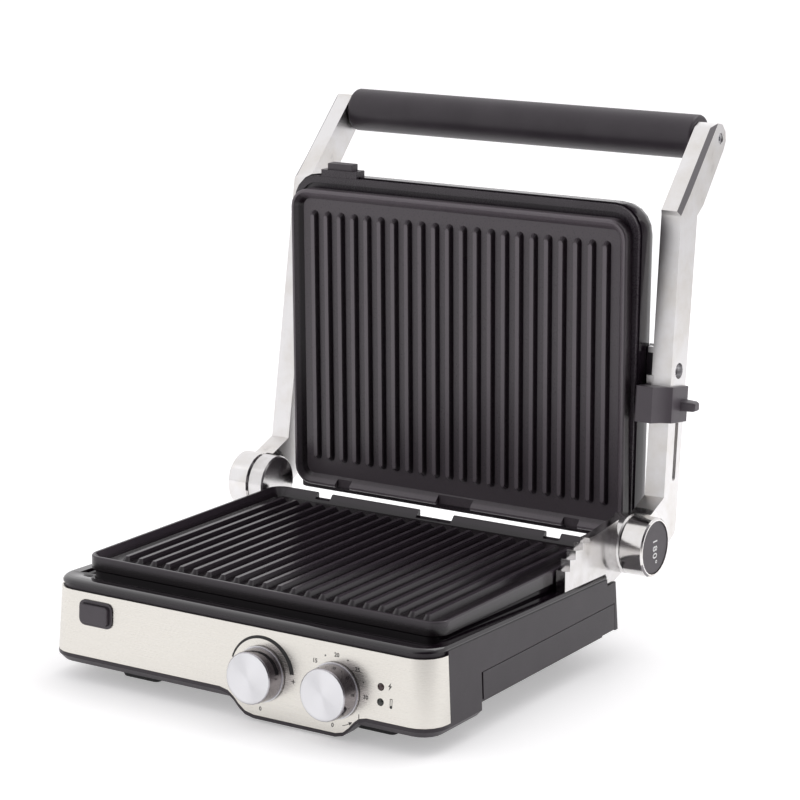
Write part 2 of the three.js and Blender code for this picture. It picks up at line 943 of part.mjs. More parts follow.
function glandBody() {
  return glandTurned([
    [glandBore, -glandInner],
    [glandRadius, -glandInner],
    [glandRadius, seatGap],
    [glandFlange, seatGap],
    [glandFlange, housingWall / 2],
    [glandRadius, housingWall],
    [glandRadius - glandTaper, glandLong],
    [glandBore, glandLong],
    [glandBore, -glandInner],
  ]);
}

function fasciaPocket() {
  const low = -dipLow - overrun;
  const outer = housingEnvelope(low, 0, -overrun);
  const inner = housingEnvelope(low, 0, sheet + seatGap);
  const zone = fasciaSweep(seatGap, -fasciaTop, seatGap, -fasciaSideEnd);
  return outer.subtract(inner).intersect(zone);
}

function neckGroove() {
  const outer = housingEnvelope(-fasciaTop, 0, -overrun);
  const inner = housingEnvelope(-fasciaTop - overrun, overrun, neckInset);
  const zone = fasciaZone(-fasciaSideEnd + seatGap, -fasciaTop, 0);
  return outer.subtract(inner).intersect(zone);
}

function fasciaBody() {
  const low = -dipLow - overrun;
  const outer = housingEnvelope(low, 0, 0);
  const inner = housingEnvelope(low - overrun, overrun, sheet);
  const zone = fasciaSweep(0, -fasciaTop, 0, -fasciaSideEnd);
  return without(outer.subtract(inner).intersect(zone), controlHoles(seatGap));
}

// Frame square to the tilted fascia at a point on it
function fasciaAxis() {
  return new THREE.Vector3(0, 1, -frontDraft).normalize();
}

function fasciaPoint(x, low) {
  return new THREE.Vector3(x, fasciaPlane(-low), -low);
}

function tilted(points, x, low, from, to) {
  const axis = fasciaAxis();
  const up = new THREE.Vector3().crossVectors(ex, axis);
  const shape = new THREE.Shape(points);
  const options = { depth: to - from, bevelEnabled: false };
  const geometry = new THREE.ExtrudeGeometry(shape, options);
  geometry.applyMatrix4(new THREE.Matrix4().makeBasis(ex, up, axis.clone().negate()));
  const at = fasciaPoint(x, low).addScaledVector(axis, to);
  geometry.translate(at.x, at.y, at.z);
  return solid(geometry);
}

function controlHoles(gap) {
  const axis = fasciaAxis();
  const deep = housingWall + sheet + 2 * overrun;
  const hole = (x, low, r) => rod(r + gap, -overrun, deep, axis, fasciaPoint(x, low));
  return [
    hole(knobLeftX, knobLeftLow, shaftRadius),
    hole(knobRightX, knobRightLow, shaftRadius),
    hole(lensX, lensLow, lensRadius),
    hole(lensX, lensLow + lensPitch, lensRadius),
    tilted(bezelOutline(-gap - bezelProud), bezelX, bezelLow, -overrun, deep),
  ];
}

// Plate release button and its bezel
function bezelOutline(inset) {
  const flange = 2 * bezelProud;
  const x = bezelWide / 2 - flange - inset;
  const z = bezelTall / 2 - flange - inset;
  const r = Math.max(bezelCorner - flange - inset, bezelProud);
  return roundedBox(-x, -z, x, z, allCorners(r), 4);
}

function bezelBody() {
  const flange = 2 * bezelProud;
  const face = tilted(bezelOutline(-flange), bezelX, bezelLow, -bezelProud, -seatGap);
  const sleeve = tilted(bezelOutline(-bezelProud), bezelX, bezelLow, -bezelProud, bezelDeep);
  const bore = tilted(
    bezelOutline(bezelWall - flange),
    bezelX,
    bezelLow,
    -bezelProud - overrun,
    bezelDeep + overrun,
  );
  return without(face.add(sleeve), [bore]);
}

function plateButtonBody() {
  const inset = bezelWall - 2 * bezelProud + seatGap;
  return tilted(bezelOutline(inset), bezelX, bezelLow, -bezelProud - buttonProud, buttonDeep);
}

// Knobs, shafts and the switches behind the fascia
function knobBody(x, low) {
  const back = -knobStand;
  const front = back - knobRingTall - knobTall;
  const face = knobFace / 2;
  const profile = [
    [0, front + knobDish],
    [face - 2 * knobBevel, front + knobDish],
    [face - knobBevel, front],
    [face, front + knobBevel],
    [knobSkirt / 2, back - knobRingTall],
    [knobRing / 2, back - knobRingTall],
    [knobRing / 2, back],
    [0, back],
  ];
  const at = fasciaPoint(x, low);
  const body = turned(profile, fasciaAxis(), at);
  const socket = rod(
    shaftRadius + shaftGap,
    back - shaftSocket - shaftGap,
    back + overrun,
    fasciaAxis(),
    at,
  );
  return without(body, [socket]);
}

function shaftBody(x, low) {
  const inner = switchFront() + switchStem;
  const outer = -knobStand - shaftSocket;
  return rod(shaftRadius, outer, inner, fasciaAxis(), fasciaPoint(x, low), 16);
}

function switchFront() {
  return sheet + housingWall + 2 * seatGap;
}

function switchCase(x, low) {
  const half = switchBody / 2;
  const outline = roundedBox(-half, -half, half, half, allCorners(switchCorner), 3);
  const from = switchFront();
  const body = tilted(outline, x, low, from, from + switchDeep);
  const socket = rod(
    shaftRadius + shaftGap,
    -overrun,
    from + switchStem + shaftGap,
    fasciaAxis(),
    fasciaPoint(x, low),
    16,
  );
  return without(body, [socket]);
}

function lensBody(low) {
  const r = lensRadius;
  const profile = [
    [0, -lensProud],
    [r * lensDomeShare, -lensProud * lensRiseShare],
    [r, 0],
    [r, lensDeep],
    [0, lensDeep],
  ];
  return turned(profile, fasciaAxis(), fasciaPoint(lensX, low), 20);
}

// Drip tray: a drawer front flush with the right side, and its pan
function trayOpening() {
  const x0 = housingHalf - trayFaceThick - trayGap;
  return block(
    x0 - housingWall,
    trayFront - trayFrontGap,
    -sideBottom + ledgeThick,
    housingHalf + 2 * overrun,
    trayRear + trayGap,
    -trayTop + trayGap,
  ).add(
    block(
      x0,
      trayFront - trayFrontGap,
      -sideBottom - overrun,
      housingHalf + 2 * overrun,
      trayRear + trayGap,
      -trayTop,
    ),
  );
}

function trayBody() {
  const face = housingEnvelope(-sideBottom, -trayTop + overrun, 0)
    .subtract(housingEnvelope(-sideBottom - overrun, 0, trayFaceThick))
    .intersect(
      block(0, trayFront, -trayBottom, housingHalf + overrun, trayRear, -trayTop),
    );
  const inset = trayPanInset;
  const y0 = trayFront + inset;
  const y1 = trayRear - trayPanRearGap;
  const x1 = housingHalf - trayFaceThick / 2;
  const x0 = x1 - trayLength;
  const low = -trayBottom + trayPanLift;
  const top = -trayTop - trayPanTop;
  const outline = (grow, floor) =>
    prismZ(
      roundedBox(x0 + grow, y0 + grow, x1 - grow, y1 - grow, [
        trayPanCorner - grow,
        trayWall,
        trayWall,
        trayPanCorner - grow,
      ]),
      floor,
      grow ? overrun : top,
    );
  const pan = without(outline(0, low), [
    outline(trayWall, low + trayWall).intersect(
      block(x0, y0, low, housingHalf - trayFaceThick - trayWall, y1, overrun),
    ),
  ]);
  return face.add(pan);
}

// Bottom cover with the runners that carry the tray
function coverBody() {
  const y0 = bandReach + seatGap;
  const half = housingHalf - coverInset;
  const y1 = housingRear - coverInset;
  const top = -sideBottom - seatGap;
  const outline = (inset) =>
    roundedBox(
      -half + inset,
      y0 + inset,
      half - inset,
      y1 - inset,
      allCorners(Math.max(coverCorner - inset, coverThick / 2)),
    );
  const shell = prismZ(outline(0), -coverLow, top);
  const hollow = prismZ(outline(coverThick), -coverLow + coverThick, overrun);
  const runnerTop = -trayBottom + trayPanLift - seatGap;
  const runners = runnerShares.map((share) => {
    const y = y0 + (y1 - y0) * share;
    const x1 = housingHalf - housingLedge - seatGap;
    const z0 = -coverLow + coverThick / 2;
    return block(-x1, y - runnerThick / 2, z0, x1, y + runnerThick / 2, runnerTop);
  });
  return joined([without(shell, [hollow]), ...runners]);
}

function footBody(x, y, top) {
  const outline = (inset) =>
    roundedBox(
      x - footLong / 2 + inset,
      y - footDeep / 2 + inset,
      x + footLong / 2 - inset,
      y + footDeep / 2 - inset,
      allCorners(footCorner - inset),
      3,
    );
  return loft([
    ringAt(outline(footTaper), -rimHeight),
    ringAt(outline(0), -rimHeight + footTaperRise),
    ringAt(outline(0), top),
  ]);
}

// Hinge brackets: stairs for the height slider on the right, plain on the left
function ringProfile(x0, x1, r, chamfer) {
  return [
    [0, x0],
    [r - chamfer, x0],
    [r, x0 + chamfer],
    [r, x1 - chamfer],
    [r - chamfer, x1],
    [0, x1],
  ];
}

function hubTurned(profile, steps = roundSteps) {
  return turned(profile, ex, new THREE.Vector3(0, hingeBack, 0), steps);
}

function hubRod(r, x0, x1, steps = roundSteps) {
  return rod(r, x0, x1, ex, new THREE.Vector3(0, hingeBack, 0), steps);
}

function deckHalf() {
  return housingHalf + sideDraft * (deckCrest - housingDatum);
}

function stairPoints() {
  const start = bracketStart();
  const points = [];
  stairRiseShares.forEach((share, i) => {
    const z = stairBase + stairRise * share;
    const fall = i + 1 < stairRiseShares.length ? stairFall : 0;
    const next = start + stairRun * stairRunShares[i + 1];
    points.push([start + stairRun * stairRunShares[i], z]);
    points.push([next, z - fall]);
  });
  return points;
}

function bracketStart() {
  return bracketTabFront - stairAhead - stairRun;
}

// Web of the stepped bracket, from its first step back to the hub
function stairWeb() {
  const start = bracketStart();
  const seat = (y) => crest(y) + seatGap;
  return [
    [start, seat(start)],
    [bracketTabFront, seat(bracketTabFront)],
    [bracketTabFront, -bracketTabLow],
    [bracketTabRear, -bracketTabLow],
    [hingeBack, -hubRadius + hubEdge],
    [hingeBack, hubRadius - hubEdge],
    ...stairPoints().reverse(),
  ];
}

// Web of the plain bracket: only a foot under its hub
function plainWeb() {
  return [
    [bracketTabFront, -bracketTabLow],
    [bracketTabRear, -bracketTabLow],
    [hingeBack, -hubRadius + hubEdge],
    [hingeBack, -plainFootTop],
    [bracketTabFront, -plainFootTop],
  ];
}

function bracketBody(stairs) {
  const side = deckHalf();
  const inner = side - bracketThick;
  const outline = polygon(stairs ? stairWeb() : plainWeb());
  const web = prismX(outline, inner, side - bracketArmGap);
  const ringEnd = hubSplit - hubSplitGap / 2;
  const ring = hubTurned(ringProfile(bracketRingIn, ringEnd, hubRadius, hubEdge));
  const leg = block(
    inner,
    bracketLegFront,
    -bracketLegLow,
    inner + bracketLegThick,
    bracketTabFront,
    stairBase,
  );
  const bore = hubRod(pinRadius + seatGap, bracketRingIn + hubEdge, hubOuter, fineSteps);
  const pieces = stairs ? [web, ring, leg] : [web, ring];
  return without(joined(pieces), [bore]);
}

function bracketClearance(stairs) {
  const side = deckHalf();
  const inner = side - bracketThick - seatGap;
  const wide = side + 2 * overrun;
  const leg = block(
    inner,
    bracketLegFront - seatGap,
    -bracketLegLow - seatGap,
    inner + bracketLegThick + 2 * seatGap,
    bracketTabFront + seatGap,
    overrun,
  );
  const tab = block(
    inner,
    bracketTabFront - seatGap,
    -bracketTabLow - seatGap,
    wide,
    hingeBack,
    overrun,
  );
  return stairs ? leg.add(tab) : tab;
}

function hingePin() {
  const end = hubSplit + hubEdge + pinRadius;
  return hubRod(pinRadius, bracketRingIn + hubEdge + seatGap, end, fineSteps);
}

// Mirror image across the middle plane
function mirrored(body) {
  const made = body.getMesh();
  const geometry = new THREE.BufferGeometry();
  const position = new THREE.BufferAttribute(made.vertProperties.slice(), 3);
  geometry.setAttribute("position", position);
  geometry.setIndex(new THREE.BufferAttribute(made.triVerts.slice(), 1));
  return solid(geometry.scale(-1, 1, 1));
}

// Arms: straight bar with a hub below and a cranked end that carries the grip
function armFront(z) {
  return armFrontLow + armFrontRake * z;
}

function armRear(z) {
  return armRearLow + armRearRake * z;
}

function armOuter(z) {
  return armOuterLow - armTaper * z;
}

// Prism along X whose side faces lean inward with height
function leaningPrism(points, wide) {
  const body = prismX(polygon(points), armOuterLow - wide, armOuterLow);
  return moved(body, new THREE.Matrix4().makeShear(0, 0, 0, 0, -armTaper, 0));
}

function moved(body, matrix) {
  const made = body.getMesh();
  const geometry = new THREE.BufferGeometry();
  const position = new THREE.BufferAttribute(made.vertProperties.slice(), 3);
  geometry.setAttribute("position", position);
  geometry.setIndex(new THREE.BufferAttribute(made.triVerts.slice(), 1));
  return solid(geometry.applyMatrix4(matrix));
}

function armBody(slotted) {
  const toe = hubRadius * armToeShare;
  const bar = leaningPrism(
    [
      [hingeBack, -toe],
      [hingeBack + hubRadius / 2, -toe],
      [armRearLow - armHeel, -armHeel / 2],
      [armRearLow, armHeel / 2],
      [armRear(armKnee), armKnee],
      [armFront(armKnee), armKnee],
      [armFront(shelfHigh), shelfHigh],
      [hingeBack + shelfReach, shelfLow],
      [hingeBack, hubRadius - hubEdge],
    ],
    armWide,
  );
  const end = [];
  for (let i = 0; i <= cornerSteps; i++) {
    const a = Math.PI - crankEndTurn - (i / cornerSteps) * Math.PI;
    const y = handleY - crankEndAhead + crankEndRadius * Math.cos(a);
    end.push([y, handleZ + crankEndRadius * Math.sin(a)]);
  }
  const crank = leaningPrism(
    [
      [armRear(armKnee), armKnee - armHeel],
      [crankBack, crankStart],
      ...end.reverse(),
      [crankFoot, crankStart],
      [armFront(armKnee), armKnee - armHeel],
    ],
    armWide,
  );
  const hub = hubTurned(
    ringProfile(hubSplit + hubSplitGap / 2, hubOuter, hubRadius, hubEdge),
  );
  const split = hubSplit + hubSplitGap / 2;
  const limb = without(bar.add(crank), [
    hubRod(hubRadius + armRingGap, 0, split),
    block(0, 0, -hubRadius, split, hingeBack, hubRadius + overrun),
  ]);
  const floor = hubOuter - discRecess - discThick - discTravel - seatGap;
  const cuts = [
    hubRod(pinRadius + seatGap, 0, hubSplit + hubEdge + pinRadius + seatGap, fineSteps),
    hubRod(hubDisc + discGap, floor, hubOuter + overrun),
    hubRod(discStem + discGap, floor - stemLong, floor + discTravel, fineSteps),
    handleRod(rodRadius + seatGap, 0, rodEnd() + seatGap),
    handleRod(handleScrewRadius + seatGap, rodEnd() + discTravel, hubOuter),
    pivotRod(pivotRadius + seatGap, 0, hubOuter),
    pivotRod(pivotHead + seatGap, armOuter(pivotZ) - pivotHeadDeep, hubOuter),
  ];
  if (slotted) cuts.push(slotCut());
  const lugs = [armLug(lugHigh, lugHighTall), armLug(lugLow, lugLowTall)];
  return without(joined([limb, hub, ...lugs]), cuts);
}

// Stop lug on the inner side of an arm, ahead of the neck of the lid
function armLug(z, tall) {
  const inner = armOuter(z) - armWide;
  const y = armFront(z);
  return block(inner - lugProud, y, z, inner + hubEdge, y + lugDeep, z + tall);
}

function handleRod(r, x0, x1) {
  return rod(r, x0, x1, ex, new THREE.Vector3(0, handleY, handleZ), fineSteps);
}

function pivotRod(r, x0, x1) {
  return rod(r, x0, x1, ex, new THREE.Vector3(0, pivotY, pivotZ), fineSteps);
}

function gripEnd() {
  return armOuter(handleZ + gripRadius) - armWide - seatGap;
}

function rodEnd() {
  return gripEnd() + rodSeat;
}

function gripBody() {
  const x = gripEnd();
  const origin = new THREE.Vector3(0, handleY, handleZ);
  const body = turned(ringProfile(-x, x, gripRadius, gripRound), ex, origin);
  return without(body, [handleRod(rodRadius + seatGap, -x - overrun, x + overrun)]);
}

function handleScrew() {
  const outer = armOuter(handleZ) - handleScrewSink;
  const body = handleRod(handleScrewRadius, rodEnd() + discTravel + seatGap, outer);
  return without(body, [handleRod(screwSocket, outer - screwSocket, hubOuter)]);
}

function pivotBolt() {
  const outer = armOuter(pivotZ) - pivotHeadSink;
  const neck = armOuter(pivotZ) - pivotHeadDeep + seatGap;
  const shank = pivotRod(pivotRadius, pivotInner(), neck + seatGap);
  const body = shank.add(pivotRod(pivotHead, neck, outer));
  return without(body, [pivotRod(pivotSocket, outer - screwSocket, hubOuter)]);
}

function slotCut() {
  const r = slotWide / 2;
  const points = [];
  const high = slotTop - r;
  const low = slotLow + r;
  for (const [z, from] of [
    [high, 0],
    [low, Math.PI],
  ]) {
    for (let i = 0; i <= cornerSteps; i++) {
      const a = from + (i / cornerSteps) * Math.PI;
      const y = armFront(z) + slotBack + r * Math.cos(a);
      points.push([y, z + r * Math.sin(a)]);
    }
  }
  const floor = armOuter(high) - slotDeep;
  return prismX(polygon(points), floor, hubOuter + overrun);
}

// Disc in the hub: fixed cap on the left, sprung release on the right
function hubDiscBody() {
  const outer = hubOuter - discRecess;
  const inner = outer - discThick;
  const stem = hubRod(discStem, inner - stemLong, inner + discThick / 2, fineSteps);
  const disc = hubTurned([
    [0, inner],
    [hubDisc, inner],
    [hubDisc, outer - discRecess],
    [hubDisc - discRecess, outer],
    [0, outer],
  ]);
  return disc.add(stem);
}

// Height slider: a block over the front of the right arm and square to it,
// scooped on its outer corner, with a thumb tab on the side
function sliderSection(z) {
  const x = armOuter(z);
  const y = armFront(z);
  const left = sliderIn + x - armOuter(sliderHigh);
  const right = x + sliderGap + sliderCheek;
  const front = y - sliderFront;
  const nose = new THREE.Vector2(left + sliderNose, front);
  const bend = new THREE.Vector2(nose.x + sliderScoopSide, y - sliderScoopAhead);
  const lip = new THREE.Vector2(right - sliderGap, y - sliderLip);
  const scoop = new THREE.QuadraticBezierCurve(nose, bend, lip).getPoints(cornerSteps);
  const outline = [
    ...polygon([
      [left, y + sliderInDeep],
      [left, front + sliderRound],
      [left + sliderRound, front],
    ]),
    ...scoop,
    ...polygon([
      [right, y + sliderRound],
      [right, y + sliderWrap],
      [x + sliderGap, y + sliderWrap],
      [x + sliderGap, y - sliderGap],
      [x - armWide - sliderGap, y - sliderGap],
      [x - armWide - sliderGap, y + sliderInDeep],
    ]),
  ];
  return outline.map((p) => new THREE.Vector3(p.x, p.y, z - armFrontRake * (p.y - y)));
}

function sliderWing() {
  const root = armOuter(wingLow) + sliderGap + sliderCheek / 2;
  const tip = root + wingReach;
  const y = armFront(wingLow) + wingBehind;
  const rings = [root, tip - sliderRound, tip].map((x, i) => {
    const tall = wingTall * wingTallShares[i];
    const deep = wingDeep * wingDeepShares[i];
    const y0 = y + (wingDeep - deep) / 2;
    const low = wingLow - tall / 2;
    const r = allCorners(tall * wingRoundShare);
    const outline = roundedBox(y0, low, y0 + deep, low + tall, r, 2);
    return outline.map((p) => new THREE.Vector3(x, p.x, p.y));
  });
  return loft(rings, (p) => new THREE.Vector2(p.y, p.z));
}

function sliderBody() {
  const collar = loft([sliderSection(sliderLow), sliderSection(sliderHigh)]);
  const at = new THREE.Vector3(0, armFront(pegHigh) + slotBack, pegHigh);
  const tip = armOuter(pegHigh) - slotDeep + 2 * sliderGap;
  const pegEnd = armOuter(pegHigh) + sliderGap + sliderCheek / 2;
  const peg = rod(slotWide / 2 - seatGap, tip, pegEnd, ex, at, coarseSteps);
  return joined([collar, sliderWing(), peg]);
}

// Lid cover, frame, and the casting, reflector and element under it.
// Lid pieces but the cover share the plate's own frame: rim at z = 0
function lidEdge(inset) {
  const front = upperPlate.depth - lidPlateLow - lidTop + inset;
  const far = upperPlate.depth - lidPlateLow + lidLow - inset;
  return [front, far];
}

function lidOutline(inset, tuck) {
  const [front, far] = lidEdge(inset + tuck);
  const half = lidHalf - inset - tuck;
  const foot = lidFootHalf - inset - tuck;
  const r = lidCorner - inset;
  const knee = lidFootTall;
  const footRound = r * lidFootRoundShare;
  const outline = roundedBox(-half, front, half, far, [r, r, footRound, footRound]);
  return outline.map((p) => {
    const along = THREE.MathUtils.clamp((p.y - (far - knee)) / (knee / 2), 0, 1);
    const limit = half + (foot - half) * along;
    return new THREE.Vector2(THREE.MathUtils.clamp(p.x, -limit, limit), p.y);
  });
}

function lidShell(inset, front, back) {
  const rings = lidRingShares.map((share, i) => {
    const z = -(front + (back - front) * share);
    return ringAt(lidOutline(inset, lidTuck * lidTuckShares[i]), z);
  });
  return loft(rings.reverse());
}

function coverFront() {
  return frameFront + frameThick + seatGap;
}

function lidCoverBody() {
  const front = coverFront();
  const back = front + lidDeep;
  const outer = lidShell(0, front, back);
  const inner = lidShell(lidWall, front - lidWall, back - lidWall);
  const guide = guideBlock(-seatGap, guideTop() - overrun);
  return without(outer.subtract(inner), [lidBore(), guide]);
}

function lidShellAt(inset) {
  const front = coverFront();
  return lidShell(inset, front + inset, front + lidDeep - inset);
}

// Pivot block: reaches from the right side of the cover to the arm
function pivotBlockBody() {
  const y = upperPlate.depth - lidPlateLow;
  const z = -lidRimAhead;
  const low = y - neckTall / 2;
  const end = armOuter(pivotZ + neckTall / 2) - armWide - pivotBossGap;
  const r = allCorners(neckRound);
  const outline = roundedBox(low, z - neckRear, low + neckTall, z + neckFront, r, 3);
  return without(prismX(outline, pivotInner(), end), [lidShellAt(-seatGap), lidBore()]);
}

// Inner end of the pivot bolts, inside the cover
function pivotInner() {
  return lidHalf - lidWall - pivotHead;
}

// Bore for both pivot bolts, right across the lid
function lidBore() {
  const y = upperPlate.depth - lidPlateLow;
  const at = new THREE.Vector3(0, y, -lidRimAhead);
  return rod(pivotRadius + seatGap, -hubOuter, hubOuter, ex, at, fineSteps);
}

// Guide of the release button, on the top edge of the frame
function guideTop() {
  const [top] = lidEdge(frameInset);
  return top - topGuideTall;
}

function guideNear() {
  return frameFront + seatGap;
}

function guideBlock(inset, top) {
  const half = topButtonWide / 2 + topGuideSide - inset;
  const near = guideNear();
  return block(
    -topButtonX - half,
    top,
    -near - topButtonDeep - 2 * topGuideWall + inset,
    -topButtonX + half,
    guideTop() + topGuideDeep - inset,
    -near - inset,
  );
}

function lidFrameBody() {
  const outline = lidOutline(frameInset, 0);
  const nested = lidOutline(lidWall + frameNest, 0);
  const back = frameFront + frameThick;
  const floor = frameFront + frameRecess;
  const band = prismZ(outline, -back, -frameFront);
  const base = prismZ(nested, -floor - frameThick, -floor);
  const recess = prismZ(lidOutline(frameInset + frameBand, 0), -floor, overrun);
  const skirtTop = -plateLip - seatGap;
  const skirt = without(prismZ(lidSkirt(0), -floor - frameThick, skirtTop), [
    prismZ(lidSkirt(skirtWall), -chuteLow, overrun),
  ]);
  const ledgeTop = flangeTop() - panWall - seatGap;
  const ledgeLow = ledgeTop - reflectorLedgeThick;
  const coaming = prismZ(openingOutline(upperPlate, -drainWall), ledgeLow, -floor);
  const guide = guideBlock(0, guideTop());
  const shell = joined([band.add(base).subtract(recess), skirt, coaming, guide]);
  const holeEnd = buttonSeat() + topButtonTravel + seatGap;
  return without(shell, [
    prismZ(openingOutline(upperPlate, reflectorLedge), -chuteLow, overrun),
    prismZ(openingOutline(upperPlate, 0), ledgeTop, overrun),
    buttonBlock(seatGap, guideTop() - overrun, holeEnd),
  ]);
}

function lidSkirt(inset) {
  const half = upperPlate.width / 2 - skirtInset - inset;
  const near = skirtInset + inset;
  const far = upperPlate.depth - skirtInset - inset;
  return roundedBox(-half, near, half, far, allCorners(upperPlate.corner - inset));
}

function buttonSeat() {
  return guideTop() + topButtonSunk;
}

function buttonBlock(grow, y0, y1) {
  const half = topButtonWide / 2 + grow;
  const near = guideNear() + topGuideWall - grow;
  const deep = topButtonDeep + 2 * grow;
  return block(-topButtonX - half, y0, -near - deep, -topButtonX + half, y1, -near);
}

function topButtonBody() {
  const seat = buttonSeat();
  return buttonBlock(0, seat - topButtonSunk - topButtonTall, seat);
}

// Scene graph
const grill = new THREE.Group();
const arms = new THREE.Group();
const lid = new THREE.Group();
const lidStack = new THREE.Group();

function place(group, name, body, look) {
  group.add(meshOf(name, body, look));
}

const bracketCuts = [bracketClearance(true), mirrored(bracketClearance(false))];
place(grill, "lower_housing", without(housingBody(), bracketCuts), black);
place(grill, "deck_trim", without(deckBody(), bracketCuts), gloss);
place(grill, "front_fascia", fasciaBody(), steel);
place(grill, "bottom_cover", coverBody(), black);
place(grill, "drip_tray", trayBody(), black);
place(grill, "lower_heat_reflector", reflectorBody(lowerPlate), pressed);
place(grill, "lower_heating_element", elementBody(lowerPlate), sheath);
place(grill, "lower_grill_plate", plateBody(lowerPlate), nonStick);

const bandLow = -frontBandBottom - bandChamfer - seatGap;
for (const [side, x] of [
  ["left", -footSpread],
  ["right", footSpread],
]) {
  place(grill, `front_foot_${side}`, footBody(x, footFront, bandLow), rubber);
  place(grill, `rear_foot_${side}`, footBody(x, footRear, -coverLow - seatGap), rubber);
}

place(grill, "release_button_bezel", bezelBody(), darkGrey);
place(grill, "lower_plate_release_button", plateButtonBody(), darkGrey);
for (const [label, x, low] of [
  ["temperature", knobLeftX, knobLeftLow],
  ["timer", knobRightX, knobRightLow],
]) {
  place(grill, `${label}_knob`, knobBody(x, low), spunAlloy);
  place(grill, `${label}_shaft`, shaftBody(x, low), pressed);
  place(grill, `${label}_switch_case`, switchCase(x, low), black);
}
place(grill, "power_cord_gland", glandBody(), rubber);
place(grill, "power_indicator_lens", lensBody(lensLow), lensRed);
place(grill, "heat_indicator_lens", lensBody(lensLow + lensPitch), lensGreen);

const pin = hingePin();
place(grill, "hinge_bracket_right", bracketBody(true), castAlloy);
place(grill, "hinge_bracket_left", mirrored(bracketBody(false)), castAlloy);
place(grill, "hinge_pin_right", pin, steel);
place(grill, "hinge_pin_left", mirrored(pin), steel);

const disc = hubDiscBody();
const screw = handleScrew();
const bolt = pivotBolt();
place(arms, "arm_right", armBody(true), castAlloy);
place(arms, "arm_left", mirrored(armBody(false)), castAlloy);
place(arms, "release_button_180", disc, darkGrey);
place(arms, "left_hub_cap", mirrored(disc), darkGrey);
place(arms, "handle_grip", gripBody(), rubber);
place(arms, "handle_rod", handleRod(rodRadius, -rodEnd(), rodEnd()), steel);
place(arms, "handle_screw_right", screw, steel);
place(arms, "handle_screw_left", mirrored(screw), steel);
place(arms, "lid_pivot_bolt_right", bolt, steel);
place(arms, "lid_pivot_bolt_left", mirrored(bolt), steel);
place(arms, "height_slider", sliderBody(), darkGrey);

const pivotBlock = pivotBlockBody();
place(lidStack, "lid_cover", lidCoverBody(), gloss);
place(lidStack, "lid_pivot_block_left", pivotBlock, black);
place(lidStack, "lid_pivot_block_right", mirrored(pivotBlock), black);
place(lidStack, "lid_frame", lidFrameBody(), black);
place(lidStack, "upper_grill_plate", plateBody(upperPlate), nonStick);
place(lidStack, "upper_heat_reflector", reflectorBody(upperPlate), pressed);
place(lidStack, "upper_heating_element", elementBody(upperPlate), sheath);
place(lidStack, "upper_plate_release_button", topButtonBody(), darkGrey);

// The upper casting stands on its hinge edge, grilling side to the front
const back = ey.clone().negate();
lidStack.quaternion.setFromRotationMatrix(
  new THREE.Matrix4().makeBasis(ex.clone().negate(), ez.clone().negate(), back),
);
lidStack.position.set(0, -lidRimAhead, upperPlate.depth - lidPlateLow);
lid.add(lidStack);
lid.position.set(0, pivotY, pivotZ);
lid.rotation.x = THREE.MathUtils.degToRad(lidLean);

const knobReach = knobStand + knobRingTall + knobTall;
const frontReach = fasciaPlane(-knobRightLow) - knobReach - (knobFace * frontDraft) / 2;
const rearReach = handleY + gripRadius;
grill.add(arms, lid);
grill.position.set(0, -(frontReach + rearReach) / 2, rimHeight);

const part = new THREE.Group();
part.add(grill);

export default part;
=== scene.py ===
"""Looks of the open contact grill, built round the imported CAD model."""

import math

import bmesh
import bpy
from mathutils import Matrix, Vector


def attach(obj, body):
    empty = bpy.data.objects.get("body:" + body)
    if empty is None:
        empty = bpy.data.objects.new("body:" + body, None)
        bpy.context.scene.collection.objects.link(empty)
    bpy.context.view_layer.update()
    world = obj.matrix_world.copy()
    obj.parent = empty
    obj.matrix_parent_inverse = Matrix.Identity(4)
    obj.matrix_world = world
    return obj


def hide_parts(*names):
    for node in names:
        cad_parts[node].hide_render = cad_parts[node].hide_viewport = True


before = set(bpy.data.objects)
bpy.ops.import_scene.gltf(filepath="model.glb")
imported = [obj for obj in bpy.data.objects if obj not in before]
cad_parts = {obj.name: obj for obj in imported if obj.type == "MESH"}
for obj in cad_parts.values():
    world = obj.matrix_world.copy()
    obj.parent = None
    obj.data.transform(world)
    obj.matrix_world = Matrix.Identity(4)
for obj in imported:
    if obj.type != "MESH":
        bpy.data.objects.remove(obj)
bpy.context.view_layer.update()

MM = 0.001
RIGHT = Vector((1.0, 0.0, 0.0))
REARWARD = Vector((0.0, 1.0, 0.0))
UP = Vector((0.0, 0.0, 1.0))

# Where the plates' own frame, in which the grill was modelled, sits in the part's
# frame, in mm.
PLATE_Y = -165.50975
PLATE_Z = 84.0


def plate_point(x, y, z):
    """A point given in the plates' own millimetres, in metres of the part's frame."""
    return Vector((x * MM, (y + PLATE_Y) * MM, (z + PLATE_Z) * MM))


def add_object(name, data):
    made = bpy.data.objects.new(name, data)
    bpy.context.scene.collection.objects.link(made)
    return made


# ---------------------------------------------------------------- shader nodes

# The part of a noise texture's range that is spread over a tone or a roughness.
NOISE_LOW = 0.3
NOISE_HIGH = 0.7


def new_material(name, **settings):
    mat = bpy.data.materials.new(name)
    mat.use_nodes = True
    shader = mat.node_tree.nodes["Principled BSDF"]
    for key, value in settings.items():
        shader.inputs[key.title()].default_value = value
    return mat, mat.node_tree, shader


def opaque(colour):
    return (*colour, 1.0)


def object_coords(tree, scale=(1.0, 1.0, 1.0)):
    coords = tree.nodes.new("ShaderNodeTexCoord")
    mapping = tree.nodes.new("ShaderNodeMapping")
    mapping.inputs["Scale"].default_value = scale
    tree.links.new(coords.outputs["Object"], mapping.inputs["Vector"])
    return mapping.outputs["Vector"]


def object_normal(tree):
    return tree.nodes.new("ShaderNodeTexCoord").outputs["Normal"]


